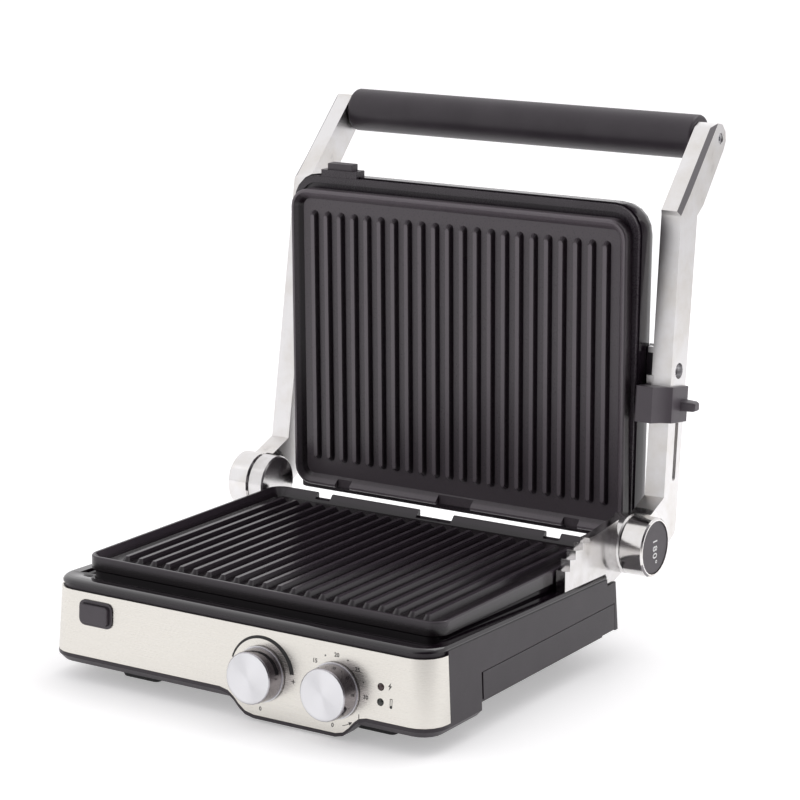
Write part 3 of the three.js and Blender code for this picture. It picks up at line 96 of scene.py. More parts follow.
def noise(tree, vector, scale, detail=2.0, roughness=0.5):
    node = tree.nodes.new("ShaderNodeTexNoise")
    node.inputs["Scale"].default_value = scale
    node.inputs["Detail"].default_value = detail
    node.inputs["Roughness"].default_value = roughness
    tree.links.new(vector, node.inputs["Vector"])
    return node.outputs["Fac"]


def ranged(tree, value, low, high, from_low=NOISE_LOW, from_high=NOISE_HIGH):
    """A linked value, spread from one range over another."""
    node = tree.nodes.new("ShaderNodeMapRange")
    node.inputs["From Min"].default_value = from_low
    node.inputs["From Max"].default_value = from_high
    node.inputs["To Min"].default_value = low
    node.inputs["To Max"].default_value = high
    tree.links.new(value, node.inputs["Value"])
    return node.outputs["Result"]


def around(tree, value, middle, spread):
    return ranged(tree, value, middle - spread, middle + spread)


def shaded(tree, value, dark, light, from_low=NOISE_LOW, from_high=NOISE_HIGH):
    """A linked value, turned into a tone between two colours."""
    node = tree.nodes.new("ShaderNodeValToRGB")
    node.color_ramp.elements[0].position = from_low
    node.color_ramp.elements[0].color = opaque(dark)
    node.color_ramp.elements[1].position = from_high
    node.color_ramp.elements[1].color = opaque(light)
    tree.links.new(value, node.inputs["Fac"])
    return node.outputs["Color"]


def combined(tree, operation, first, second):
    """Math node for two linked values."""
    node = tree.nodes.new("ShaderNodeMath")
    node.operation = operation
    tree.links.new(first, node.inputs[0])
    tree.links.new(second, node.inputs[1])
    return node.outputs["Value"]


def vector_math(tree, operation, vector, other=None):
    """Vector math node for a linked vector and, where it takes two, a fixed one."""
    node = tree.nodes.new("ShaderNodeVectorMath")
    node.operation = operation
    tree.links.new(vector, node.inputs[0])
    if other is not None:
        node.inputs[1].default_value = other
    return node.outputs["Value" if operation in ("DOT_PRODUCT", "LENGTH") else "Vector"]


def surface(tree, shader, colour, roughness):
    tree.links.new(colour, shader.inputs["Base Color"])
    tree.links.new(roughness, shader.inputs["Roughness"])


def bump(tree, shader, height, distance):
    node = tree.nodes.new("ShaderNodeBump")
    node.inputs["Strength"].default_value = 1.0
    node.inputs["Distance"].default_value = distance
    tree.links.new(height, node.inputs["Height"])
    tree.links.new(node.outputs["Normal"], shader.inputs["Normal"])


# ---------------------------------------------------------------- materials

# Noise scales, in features per metre, and heights of the grain, in metres.
PATCH_SCALE = 35.0
COAT_GRAIN_SCALE = 1500.0
COAT_GRAIN_HEIGHT = 0.000012
RIPPLE_SCALE = 28.0
RIPPLE_HEIGHT = 0.00002
WIPE_SCALE = 60.0
WIPE_STRETCH = (1.0, 6.0, 1.0)
SLOW_SCALE = 9.0
WAVE_SCALE = 32.0
DULL_SCALE = 75.0
BAR_DULL_SCALE = 60.0
BAR_DULL_HEIGHT = 0.000012
BAR_STAIN_SCALE = 38.0
RING_SCALE = 2600.0
RING_HEIGHT = 0.000008
CLOUD_SCALE = 400.0

# How far the roughness, or a tone, strays from its given value.
GRAIN_SPREAD = 0.06
COAT_SPREAD = 0.04
WIPE_ROUGHER = 0.07
STROKE_SMOOTHER = 0.05
STROKE_ROUGHER = 0.07
SLOW_SPREAD = 0.01
DULL_SMOOTHER = 0.05
DULL_ROUGHER = 0.1
BAR_DULL_RANGE = (-0.02, 0.03)
LENS_ROUGH = (0.18, 0.3)
SKIN_ROUGH = 0.04
BRUSHED_ANISOTROPY = 0.6
SPUN_ANISOTROPY = 0.85

# Ribbed plates: the way that they face, and how far along it their valleys and crests
# are, in metres, over which the coat goes from painted shade to painted highlight.
UPPER_PLATE_FACE = Vector((0.0, -0.99985, -0.01745))
UPPER_RIBS = (-0.0992, -0.0978)
LOWER_PLATE_FACE = UP
LOWER_RIBS = (0.0776, 0.0816)
# How far a face turns to the right, over which the ribs' right-hand flanks get painted
# shade.
FLANK_FACING = (0.1, 0.45)

# Arms: the axis and the edge of their turned hubs, and the cut edge of the cranked end,
# with the tone of the painted shade on that cut.
HUB_CENTRE = Vector((0.0, 0.07579, 0.084))
HUB_EDGE = (0.0262, 0.028)
CHAMFER_FACE = Vector((0.70711, 0.5089, 0.49093))
CHAMFER_FACING = (0.96, 0.985)
CHAMFER_PAINTED_SHADE = (0.25, 0.24, 0.25)
ARM_DARK_AT = 0.35
ARM_LIGHT_AT = 0.6

# Dials: their axis, their centres, their sides, and what counts as facing ahead.
DIAL_AXIS = Vector((0.0, 0.998322, -0.057903))
TEMPERATURE_DIAL = Vector((0.0244, -0.193003, 0.0345))
TIMER_DIAL = Vector((0.085, -0.193032, 0.034))
DIAL_SIDE_TONE = (0.3, 0.28, 0.3)
DIAL_SIDE_ROUGH = 0.12
DIAL_FACING = (0.6, 0.9)


def grained_plastic(name, dark, light, rough, grain_scale, grain_height):
    """Moulded plastic: fine grain, with slight changes of tone and sheen."""
    mat, tree, shader = new_material(name, metallic=0.0)
    coords = object_coords(tree)
    patches = noise(tree, coords, PATCH_SCALE, detail=3.0)
    grain = noise(tree, coords, grain_scale, roughness=0.6)
    tone = shaded(tree, patches, dark, light)
    surface(tree, shader, tone, around(tree, grain, rough, GRAIN_SPREAD))
    bump(tree, shader, grain, grain_height)
    return mat


def ribbed_coat(name, valley, crest, rough, normal, levels, flank=0.0):
    """Non-stick coat of a ribbed plate: painted shade in the valleys, painted highlight
    on the crests.

    The flank share sets how much of the tone goes by the ribs' right-hand flanks, as
    painted shade.
    """
    mat, tree, shader = new_material(name, metallic=0.0)
    coords = object_coords(tree)
    grain = noise(tree, coords, COAT_GRAIN_SCALE, roughness=0.6)
    # Painted shade in the valleys and painted highlight on the crests, by height along
    # the plate's face.
    above = vector_math(tree, "DOT_PRODUCT", coords, normal)
    painted_shade_by_height = ranged(tree, above, 0.0, 1.0 - flank, *levels)
    speckle = around(tree, grain, 0.0, COAT_SPREAD)
    height_shade_and_speckle = combined(tree, "ADD", painted_shade_by_height, speckle)
    # Painted shade on the ribs' right-hand flanks, by which way they face.
    facing = tree.nodes.new("ShaderNodeSeparateXYZ")
    tree.links.new(object_normal(tree), facing.inputs[0])
    painted_flank_shade = ranged(tree, facing.outputs["X"], flank, 0.0, *FLANK_FACING)
    painted_light_and_speckle = combined(tree, "ADD", height_shade_and_speckle, painted_flank_shade)
    tone = shaded(tree, painted_light_and_speckle, valley, crest, 0.0, 1.0)
    surface(tree, shader, tone, around(tree, grain, rough, COAT_SPREAD))
    bump(tree, shader, grain, COAT_GRAIN_HEIGHT)
    return mat


def gloss_plastic(name, dark, light, rough, coat=0.4, specular=0.5):
    """Glossy moulding: clear skin with a faint ripple and light wipe marks."""
    mat, tree, shader = new_material(name, metallic=0.0)
    shader.inputs["Specular IOR Level"].default_value = specular
    shader.inputs["Coat Weight"].default_value = coat
    shader.inputs["Coat Roughness"].default_value = SKIN_ROUGH
    ripple = noise(tree, object_coords(tree), RIPPLE_SCALE, detail=1.0)
    wipes = noise(tree, object_coords(tree, WIPE_STRETCH), WIPE_SCALE, detail=4.0)
    tone = shaded(tree, wipes, dark, light)
    surface(tree, shader, tone, ranged(tree, wipes, rough, rough + WIPE_ROUGHER))
    bump(tree, shader, ripple, RIPPLE_HEIGHT)
    return mat


def brushed_metal(name, dark, light, rough, stretch, depth):
    """Sheet brushed along one axis: long fine scratches, slow changes of tone."""
    mat, tree, shader = new_material(name, metallic=1.0)
    shader.inputs["Anisotropic"].default_value = BRUSHED_ANISOTROPY
    stretched = object_coords(tree, stretch)
    strokes = noise(tree, stretched, 1.0, detail=3.0, roughness=0.65)
    slow = noise(tree, object_coords(tree), SLOW_SCALE)
    smoothest, roughest = rough - STROKE_SMOOTHER, rough + STROKE_ROUGHER
    scratched = ranged(tree, strokes, smoothest, roughest)
    sheen = combined(tree, "ADD", scratched, around(tree, slow, 0.0, SLOW_SPREAD))
    surface(tree, shader, shaded(tree, strokes, dark, light), sheen)
    bump(tree, shader, strokes, depth)
    geometry = tree.nodes.new("ShaderNodeNewGeometry")
    along = vector_math(tree, "CROSS_PRODUCT", geometry.outputs["Normal"], UP)
    tree.links.new(along, shader.inputs["Tangent"])
    return mat


def cast_metal(name, dark, light, rough, wave_height):
    """Polished metal: shallow waves left by polishing, and dull patches."""
    mat, tree, shader = new_material(name, metallic=1.0)
    coords = object_coords(tree)
    waves = noise(tree, coords, WAVE_SCALE, detail=1.5)
    dull = noise(tree, coords, DULL_SCALE, detail=4.0, roughness=0.6)
    tone = shaded(tree, dull, dark, light)
    smoothest, roughest = rough - DULL_SMOOTHER, rough + DULL_ROUGHER
    surface(tree, shader, tone, ranged(tree, dull, smoothest, roughest))
    bump(tree, shader, waves, wave_height)
    return mat


def arm_metal(name, dark, light, satin, polished):
    """Casting with a satin bar, a polished hub and painted shade on the cut along the
    crank.
    """
    mat, tree, shader = new_material(name, metallic=1.0)
    coords = object_coords(tree)
    away = vector_math(tree, "SUBTRACT", coords, HUB_CENTRE)
    sideways = vector_math(tree, "MULTIPLY", away, REARWARD + UP)
    from_axis = vector_math(tree, "LENGTH", sideways)
    finish = ranged(tree, from_axis, polished, satin, *HUB_EDGE)
    dull = noise(tree, coords, BAR_DULL_SCALE, detail=5.0, roughness=0.65)
    sheen = combined(tree, "ADD", finish, ranged(tree, dull, *BAR_DULL_RANGE))
    stains = noise(tree, coords, BAR_STAIN_SCALE, detail=4.0, roughness=0.6)
    # Faces turned like the crank's cut get painted shade: a darker tone ramped into
    # their colour.
    either_side = vector_math(tree, "ABSOLUTE", object_normal(tree))
    facing = vector_math(tree, "DOT_PRODUCT", either_side, CHAMFER_FACE)
    chamfer = ranged(tree, facing, 0.0, 1.0, *CHAMFER_FACING)
    tone = tree.nodes.new("ShaderNodeValToRGB")
    tone.color_ramp.elements[0].color = opaque(CHAMFER_PAINTED_SHADE)
    tone.color_ramp.elements.new(ARM_DARK_AT).color = opaque(dark)
    tone.color_ramp.elements.new(ARM_LIGHT_AT).color = opaque(light)
    tone.color_ramp.elements[-1].color = opaque(light)
    tree.links.new(combined(tree, "SUBTRACT", stains, chamfer), tone.inputs["Fac"])
    surface(tree, shader, tone.outputs["Color"], sheen)
    bump(tree, shader, dull, BAR_DULL_HEIGHT)
    return mat


def spun_metal(name, centre, axis, light, rough):
    """Turned face: tool rings round the axis, which smear highlights into a bow tie."""
    mat, tree, shader = new_material(name, metallic=1.0)
    shader.inputs["Anisotropic"].default_value = SPUN_ANISOTROPY
    coords = tree.nodes.new("ShaderNodeTexCoord")
    facing = vector_math(tree, "DOT_PRODUCT", coords.outputs["Normal"], axis)
    ahead = tree.nodes.new("ShaderNodeMath")
    ahead.operation = "ABSOLUTE"
    tree.links.new(facing, ahead.inputs[0])
    tone = shaded(tree, ahead.outputs[0], DIAL_SIDE_TONE, light, *DIAL_FACING)
    sheen = ranged(tree, ahead.outputs[0], DIAL_SIDE_ROUGH, rough, *DIAL_FACING)
    surface(tree, shader, tone, sheen)
    away = vector_math(tree, "SUBTRACT", coords.outputs["Object"], centre)
    round_axis = vector_math(tree, "CROSS_PRODUCT", away, axis)
    turned = tree.nodes.new("ShaderNodeVectorTransform")
    turned.vector_type = "VECTOR"
    turned.convert_from = "OBJECT"
    turned.convert_to = "WORLD"
    tree.links.new(round_axis, turned.inputs[0])
    along = vector_math(tree, "NORMALIZE", turned.outputs[0])
    tree.links.new(along, shader.inputs["Tangent"])
    from_axis = vector_math(tree, "LENGTH", round_axis)
    rings = tree.nodes.new("ShaderNodeTexNoise")
    rings.noise_dimensions = "1D"
    rings.inputs["Scale"].default_value = RING_SCALE
    rings.inputs["Detail"].default_value = 3.0
    tree.links.new(from_axis, rings.inputs["W"])
    bump(tree, shader, rings.outputs["Fac"], RING_HEIGHT)
    return mat


def tinted_lens(name, colour):
    """Small cloudy lens: in places its colour is only half as bright."""
    mat, tree, shader = new_material(name, metallic=0.0)
    cloud = noise(tree, object_coords(tree), CLOUD_SCALE)
    deep = [0.5 * c for c in colour]
    tone = shaded(tree, cloud, deep, colour)
    surface(tree, shader, tone, ranged(tree, cloud, *LENS_ROUGH))
    return mat


# The values of each material, in the order in which its maker takes them.
PLASTICS = {
    "satin_black": ((0.018, 0.012, 0.018), (0.027, 0.02, 0.027), 0.4, 1400.0, 0.00003),
    "dark_grey": ((0.05, 0.041, 0.05), (0.066, 0.056, 0.066), 0.45, 1600.0, 0.00003),
    "grip_black": ((0.034, 0.026, 0.034), (0.046, 0.037, 0.046), 0.42, 1800.0, 0.00004),
    "slider_grey": ((0.075, 0.063, 0.075), (0.09, 0.077, 0.09), 0.38, 1600.0, 0.00002),
    "foot_rubber": ((0.012, 0.012, 0.013), (0.022, 0.022, 0.023), 0.75, 900.0, 0.00004),
    "lid_shell": ((0.04, 0.032, 0.04), (0.052, 0.043, 0.052), 0.27, 1400.0, 0.00001),
    "print_black": ((0.02, 0.02, 0.02), (0.035, 0.034, 0.034), 0.6, 3000.0, 0.000005),
    "print_white": ((0.75, 0.75, 0.75), (0.85, 0.85, 0.85), 0.5, 3000.0, 0.000005),
}
GLOSSES = {
    "gloss_black": ((0.006, 0.003, 0.006), (0.009, 0.006, 0.009), 0.07),
    "lid_gloss": ((0.012, 0.008, 0.012), (0.016, 0.011, 0.016), 0.12, 0.0, 0.12),
}
CASTINGS = {
    "cast_alloy": ((0.63, 0.615, 0.6), (0.77, 0.76, 0.765), 0.17, 0.00002),
    "plated_steel": ((0.5, 0.5, 0.52), (0.62, 0.62, 0.64), 0.15, 0.00001),
    "pressed_sheet": ((0.42, 0.42, 0.43), (0.55, 0.55, 0.56), 0.35, 0.00008),
    "element_sheath": ((0.12, 0.11, 0.1), (0.3, 0.28, 0.26), 0.45, 0.00004),
}
LENSES = {
    "lens_red": ((0.085, 0.055, 0.055),),
    "lens_green": ((0.06, 0.066, 0.06),),
}
# Both plates carry the same non-stick coat; the upper one is painted lighter, as
# painted light, and only it has painted shade on its flanks.
COATS = {
    "upper_coat": (
        (0.006, 0.002, 0.005),
        (0.13, 0.112, 0.127),
        0.3,
        UPPER_PLATE_FACE,
        UPPER_RIBS,
        0.62,
    ),
    "lower_coat": (
        (0.007, 0.004, 0.006),
        (0.034, 0.026, 0.034),
        0.22,
        LOWER_PLATE_FACE,
        LOWER_RIBS,
    ),
}
BRUSHED = {
    "brushed_fascia": (
        (0.69, 0.665, 0.615),
        (0.75, 0.73, 0.68),
        0.27,
        (30.0, 30.0, 5200.0),
        0.000002,
    ),
}
ARMS = {
    "arm_alloy": ((0.745, 0.722, 0.695), (0.82, 0.81, 0.81), 0.31, 0.15),
}
DIALS = {
    "temperature_dial": (TEMPERATURE_DIAL, DIAL_AXIS, (0.74, 0.74, 0.76), 0.34),
    "timer_dial": (TIMER_DIAL, DIAL_AXIS, (0.74, 0.74, 0.76), 0.34),
}
MAKERS = (
    (grained_plastic, PLASTICS),
    (gloss_plastic, GLOSSES),
    (cast_metal, CASTINGS),
    (tinted_lens, LENSES),
    (ribbed_coat, COATS),
    (brushed_metal, BRUSHED),
    (arm_metal, ARMS),
    (spun_metal, DIALS),
)
MATERIALS = {
    name: maker(name, *values)
    for maker, rows in MAKERS
    for name, values in rows.items()
}

# ---------------------------------------------------------------- CAD nodes

# In degrees: over the first an edge stays sharp, under the second two faces count as
# flat neighbours, and over the third an edge is rounded.
SHARP_ANGLE = 38.0
FLAT_ANGLE = 0.6
BEVEL_ANGLE = 32.0
BEVEL_STEPS = 2
WELD_DISTANCE = 0.002 * MM


def edge_group():
    """Node group that shades a mesh smooth, apart from its sharp edges."""
    group = bpy.data.node_groups.new("smooth_by_angle", "GeometryNodeTree")
    for way in ("INPUT", "OUTPUT"):
        group.interface.new_socket(
            "Geometry", in_out=way, socket_type="NodeSocketGeometry"
        )
    start = group.nodes.new("NodeGroupInput")
    end = group.nodes.new("NodeGroupOutput")
    faces = group.nodes.new("GeometryNodeSetShadeSmooth")
    faces.domain = "FACE"
    faces.inputs["Shade Smooth"].default_value = True
    edges = group.nodes.new("GeometryNodeSetShadeSmooth")
    edges.domain = "EDGE"
    edges.inputs["Shade Smooth"].default_value = False
    angle = group.nodes.new("GeometryNodeInputMeshEdgeAngle")
    over = group.nodes.new("FunctionNodeCompare")
    over.data_type = "FLOAT"
    over.operation = "GREATER_THAN"
    over.inputs["B"].default_value = math.radians(SHARP_ANGLE)
    link = group.links.new
    link(start.outputs["Geometry"], faces.inputs["Geometry"])
    link(faces.outputs["Geometry"], edges.inputs["Geometry"])
    link(angle.outputs["Unsigned Angle"], over.inputs["A"])
    link(over.outputs["Result"], edges.inputs["Selection"])
    link(edges.outputs["Geometry"], end.inputs["Geometry"])
    return group


SMOOTHING = edge_group()


def smooth_by_angle(piece):
    smooth = piece.modifiers.new("smooth", "NODES")
    smooth.node_group = SMOOTHING


def dress(piece, material, bevel_mm, joined=True):
    """Gives a piece its material, rounded edges and smooth shading.

    Flat neighbouring faces are joined into one first, unless told otherwise.
    """
    piece.data.materials.clear()
    piece.data.materials.append(MATERIALS[material])
    weld = piece.modifiers.new("weld", "WELD")
    weld.merge_threshold = WELD_DISTANCE
    if joined:
        flat = piece.modifiers.new("flat", "DECIMATE")
        flat.decimate_type = "DISSOLVE"
        flat.angle_limit = math.radians(FLAT_ANGLE)
    if bevel_mm:
        bevel = piece.modifiers.new("bevel", "BEVEL")
        bevel.width = bevel_mm * MM
        bevel.segments = BEVEL_STEPS
        bevel.limit_method = "ANGLE"
        bevel.angle_limit = math.radians(BEVEL_ANGLE)
        bevel.use_clamp_overlap = True
        bevel.miter_outer = "MITER_ARC"
    smooth_by_angle(piece)
    even = piece.modifiers.new("even", "WEIGHTED_NORMAL")
    even.keep_sharp = True


# Material and edge rounding in mm of each CAD node.
FINISHES = {
    "lower_housing": ("satin_black", 0.8),
    "deck_trim": ("gloss_black", 0.9),
    "front_fascia": ("brushed_fascia", 0.25),
    "bottom_cover": ("satin_black", 0.6),
    "drip_tray": ("satin_black", 0.6),
    "lower_heat_reflector": ("pressed_sheet", 0.2),
    "lower_heating_element": ("element_sheath", 0.0),
    "lower_grill_plate": ("lower_coat", 0.55),
    "front_foot_left": ("foot_rubber", 0.8),
    "rear_foot_left": ("foot_rubber", 0.8),
    "front_foot_right": ("foot_rubber", 0.8),
    "rear_foot_right": ("foot_rubber", 0.8),
    "release_button_bezel": ("dark_grey", 0.5),
    "lower_plate_release_button": ("dark_grey", 0.7),
    "temperature_knob": ("temperature_dial", 0.5),
    "temperature_shaft": ("plated_steel", 0.2),
    "temperature_switch_case": ("satin_black", 0.5),
    "timer_knob": ("timer_dial", 0.5),
    "timer_shaft": ("plated_steel", 0.2),
    "timer_switch_case": ("satin_black", 0.5),
    "power_cord_gland": ("foot_rubber", 0.4),
    "power_indicator_lens": ("lens_red", 0.3),
    "heat_indicator_lens": ("lens_green", 0.3),
    "hinge_bracket_right": ("cast_alloy", 0.6),
    "hinge_bracket_left": ("cast_alloy", 0.6),
    "hinge_pin_right": ("plated_steel", 0.2),
    "hinge_pin_left": ("plated_steel", 0.2),
    "arm_right": ("arm_alloy", 1.0),
    "arm_left": ("arm_alloy", 1.0),
    "release_button_180": ("dark_grey", 0.5),
    "left_hub_cap": ("dark_grey", 0.5),
    "handle_grip": ("grip_black", 1.0),
    "handle_rod": ("plated_steel", 0.2),
    "handle_screw_right": ("plated_steel", 0.2),
    "handle_screw_left": ("plated_steel", 0.2),
    "lid_pivot_bolt_right": ("plated_steel", 0.2),
    "lid_pivot_bolt_left": ("plated_steel", 0.2),
    "height_slider": ("slider_grey", 0.6),
    "lid_cover": ("lid_gloss", 1.0),
    "lid_pivot_block_left": ("satin_black", 0.5),
    "lid_pivot_block_right": ("satin_black", 0.5),
    "lid_frame": ("lid_shell", 0.5),
    "upper_grill_plate": ("upper_coat", 0.55),
    "upper_heat_reflector": ("pressed_sheet", 0.2),
    "upper_heating_element": ("element_sheath", 0.0),
    "upper_plate_release_button": ("dark_grey", 0.5),
}

# Nodes that a cut version stands in for, and the node whose flat faces stay unjoined,
# because its rounded edges would otherwise run into the upper plate's release button.
CHAMFERED = ("arm_right", "arm_left")
UNJOINED = "lid_frame"

# The cranked end of each arm: the way its front faces, the width of its cut in mm, how
# nearly a face has to face ahead or outward, and the shortest edge that is cut, in m.
CRANK_FRONT = Vector((0.0, -0.71969, 0.69429))
CRANK_CHAMFER = 3.2
FRONT_FACING = 0.98
OUTER_FACING = 0.9
SHORTEST_CUT = 0.02


def chamfered_arm(node):
    """The same arm with the outer front edge of its cranked end cut off."""
    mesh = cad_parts[node].data.copy()
    mesh.name = node + "_chamfered"
    cut = bmesh.new()
    cut.from_mesh(mesh)
    bmesh.ops.remove_doubles(cut, verts=cut.verts, dist=WELD_DISTANCE)
    bmesh.ops.dissolve_limit(
        cut, angle_limit=math.radians(FLAT_ANGLE), verts=cut.verts, edges=cut.edges
    )
    picked = []
    for edge in cut.edges:
        middle = (edge.verts[0].co + edge.verts[1].co) / 2
        outward = RIGHT * math.copysign(1.0, middle.x)
        normals = [face.normal for face in edge.link_faces]
        front = any(normal.dot(CRANK_FRONT) > FRONT_FACING for normal in normals)
        outer = any(normal.dot(outward) > OUTER_FACING for normal in normals)
        if front and outer and edge.calc_length() > SHORTEST_CUT:
            picked.append(edge)
    bmesh.ops.bevel(
        cut,
        geom=picked,
        offset=CRANK_CHAMFER * MM,
        segments=1,
        affect="EDGES",
        profile=0.5,
    )
    cut.to_mesh(mesh)
    cut.free()
    piece = add_object(mesh.name, mesh)
    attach(piece, "arm_frame")
    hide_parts(node)
    return piece


for node, (material, bevel_mm) in FINISHES.items():
    piece = chamfered_arm(node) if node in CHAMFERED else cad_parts[node]
    dress(piece, material, bevel_mm, joined=node != UNJOINED)

# ---------------------------------------------------------------- deck dish

# All in mm of the plates' own frame.
DECK_HALF = 159.947
DECK_FRONT = -25.272
DECK_CORNER = 19.0
CREST_HEIGHT = -11.2
CREST_FALL = 0.026
CREST_FRONT = -27.0
DISH_END = 168.0
DISH_FALL = 4.2
DISH_PROUD = 0.05
DISH_THICK = 1.0
SKIRT_HALF = 145.0
SKIRT_FRONT = 5.0
SKIRT_CORNER = 12.0
SKIRT_THICK = 3.2
SKIRT_TOP = -11.3
ARC_STEPS = 12

# How far the dish's rails are set in from the deck's outline, at its front and sides:
# its edge and its turn, seen from above and below.
DISH_EDGE = (7.6, 2.6)
DISH_TURN = (13.4, 8.9)
UNDER_TURN = (13.2, 8.8)
UNDER_EDGE = (7.8, 2.8)


def crest(y):
    """Height of the deck's highest line in the plates' own frame."""
    return CREST_HEIGHT - CREST_FALL * (y - CREST_FRONT)


def round_the_front(half, near, corner):
    """Points from the left side, round the two front corners, to the right side."""
    points = [(-half, DISH_END)]
    for side, start in ((-1.0, 180.0), (1.0, 270.0)):
        for i in range(ARC_STEPS + 1):
            turn = math.radians(start + 90.0 * i / ARC_STEPS)
            x = side * (half - corner) + corner * math.cos(turn)
            points.append((x, near + corner + corner * math.sin(turn)))
    points.append((half, DISH_END))
    return points


def deck_rail(front, side, drop):
    """Line round the deck, set in from its outline, a drop below the crest."""
    corner = DECK_CORNER - (front + side) / 2
    rail = round_the_front(DECK_HALF - side, DECK_FRONT + front, corner)
    return [(x, y, crest(y) - drop) for x, y in rail]


def skirt_rail(grow):
    """Line round the skirt, on its foot."""
    rail = round_the_front(SKIRT_HALF + grow, SKIRT_FRONT - grow, SKIRT_CORNER)
    return [(x, y, crest(y) - DISH_FALL) for x, y in rail]


def deck_dish():
    """Smooth fall of the deck from its edge to the skirt, and the skirt."""
    rails = [
        deck_rail(*DISH_EDGE, -DISH_PROUD),
        deck_rail(*DISH_TURN, -DISH_PROUD),
        skirt_rail(SKIRT_THICK),
        [(x, y, SKIRT_TOP) for x, y, _ in skirt_rail(SKIRT_THICK)],
        [(x, y, SKIRT_TOP) for x, y, _ in skirt_rail(0.0)],
        [(x, y, z - DISH_THICK) for x, y, z in skirt_rail(0.0)],
        deck_rail(*UNDER_TURN, DISH_THICK),
        deck_rail(*UNDER_EDGE, DISH_PROUD),
    ]
    count = len(rails[0])
    points = [plate_point(*point) for rail in rails for point in rail]
    faces = []
    for r in range(len(rails)):
        here = r * count
        after = (r + 1) % len(rails) * count
        for i in range(count - 1):
            faces.append((here + i, here + i + 1, after + i + 1, after + i))
    faces.append(tuple(r * count for r in range(len(rails))))
    faces.append(tuple(r * count + count - 1 for r in reversed(range(len(rails)))))
    mesh = bpy.data.meshes.new("deck_dish")
    mesh.from_pydata(points, [], faces)
    mesh.materials.append(MATERIALS["gloss_black"])
    piece = add_object("deck_dish", mesh)
    smooth_by_angle(piece)
    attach(piece, "base")


deck_dish()

# ---------------------------------------------------------------- printed marks

PRINT_LIFT = 0.03 * MM
PRINT_DEEP = 0.04 * MM
PRINT_BOLD = 0.1 * MM

# Body, material and slot of each kind of print.
FASCIA_PRINT = ("base", "print_black", "satin_black")
HUB_PRINT = ("hub_button", "print_white", "dark_grey")

# The fascia's face: its own up and out, its place at a height, and its lean.
FASCIA_UP = Vector((0.0, 0.057903, 0.998322))
FASCIA_OUT = Vector((0.0, -0.998322, 0.057903))
FASCIA_FACE = -27.0
FASCIA_MIDDLE = -41.0
FASCIA_LEAN = 0.058

# Marks, in mm across and up in the plates' own frame, or as a radius in mm and degrees
# clockwise from the top of their dial.
TEMPERATURE_SPOT = (24.4, -49.5)
TIMER_SPOT = (85.0, -50.0)
POWER_SPOT = (128.2, -39.7)
HEAT_SPOT = (129.5, -51.1)
NUMBER_SIZE = 4.0
MINUS_AT = (26.5, -90.0)
PLUS_AT = (26.6, 92.0)
ZERO_AT = (24.8, 180.0)
SIGN_HALF = 1.6
SIGN_STROKE = 0.5
TIMER_NUMBER_RADIUS = 24.4
TIMER_NUMBERS = {
    "timer_number_15": ("15", -44.0),
    "timer_number_20": ("20", 1.0),
    "timer_number_25": ("25", 45.0),
    "timer_number_30": ("30", 91.0),
    "timer_on": ("I", 127.0),
    "timer_zero": ("0", 183.0),
}
TIMER_DOTS = (-21.0, 23.0, 67.0)
TIMER_DOT_RADIUS = 0.6
TIMER_DOTS_AT = 24.2
DOT_STEPS = 14
ARROW_HEAD = ((24.2, 143.5), (25.4, 150.5), (23.0, 150.5))
BOLT = ((0.9, 2.9), (-1.5, -0.3), (-0.1, -0.1), (-1.0, -2.9), (1.6, 0.6), (0.2, 0.4))
METER_STROKE = 0.45
METER_BULB = (0.0, -2.4, 1.05)
METER_BARS = (
    (-0.75, -1.7, -0.75, 2.9),
    (0.75, -1.7, 0.75, 2.9),
    (-0.95, 3.15, 0.95, 3.15),
)

# Arcs: radius, start and end, width at the start and at the end, and steps.
TEMPERATURE_ARC = (25.5, -72.6, 81.6, 1.2, 3.5, 40)
ARROW_SHAFT = (24.2, 164.0, 150.0, 0.45, 0.45, 8)

HUB_BUTTON_FACE = Vector((0.1835, 0.0758, 0.081))
HUB_NUMBER_SIZE = 9.0
HUB_NUMBER_SPACING = 1.2


def fascia_frame(x, z):
    """Matrix from flat drawing coordinates (x right, y up, z out) to the fascia."""
    face = plate_point(x, FASCIA_FACE + FASCIA_LEAN * (z - FASCIA_MIDDLE), z)
    turn = Matrix((RIGHT, FASCIA_UP, FASCIA_OUT)).transposed().to_4x4()
    return Matrix.Translation(face + FASCIA_OUT * PRINT_LIFT) @ turn


def flat_mesh(name, outlines, place, body, material, slot):
    """Thin raised print from closed outlines in mm, each one face."""
    points = []
    faces = []
    for outline in outlines:
        first = len(points)
        points += [(x * MM, y * MM, 0.0) for x, y in outline]
        points += [(x * MM, y * MM, PRINT_DEEP) for x, y in outline]
        count = len(outline)
        faces.append([first + count + i for i in range(count)])
        faces.append([first + count - 1 - i for i in range(count)])
        for i in range(count):
            j = (i + 1) % count
            faces.append([first + i, first + j, first + count + j, first + count + i])
    mesh = bpy.data.meshes.new(name)
    mesh.from_pydata(points, [], faces)
    mesh.transform(place)
    mesh.materials.append(MATERIALS[material])
    piece = add_object(name, mesh)
    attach(piece, body)


def printed_number(name, words, size_mm, place, body, material, slot, spacing=1.0):
    """A plain number as thin raised print."""
    curve = bpy.data.curves.new(name, "FONT")
    curve.body = words
    curve.size = size_mm * MM
    curve.align_x = "CENTER"
    curve.align_y = "CENTER"
    curve.extrude = PRINT_DEEP / 2
    curve.offset = PRINT_BOLD
    curve.space_character = spacing
    curve.resolution_u = 3
    maker = add_object(name + "_curve", curve)
    bpy.context.view_layer.update()
    mesh = bpy.data.meshes.new_from_object(maker)
    bpy.data.objects.remove(maker)
    mesh.name = name
    mesh.transform(place)
    mesh.materials.clear()
    mesh.materials.append(MATERIALS[material])
    piece = add_object(name, mesh)
    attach(piece, body)


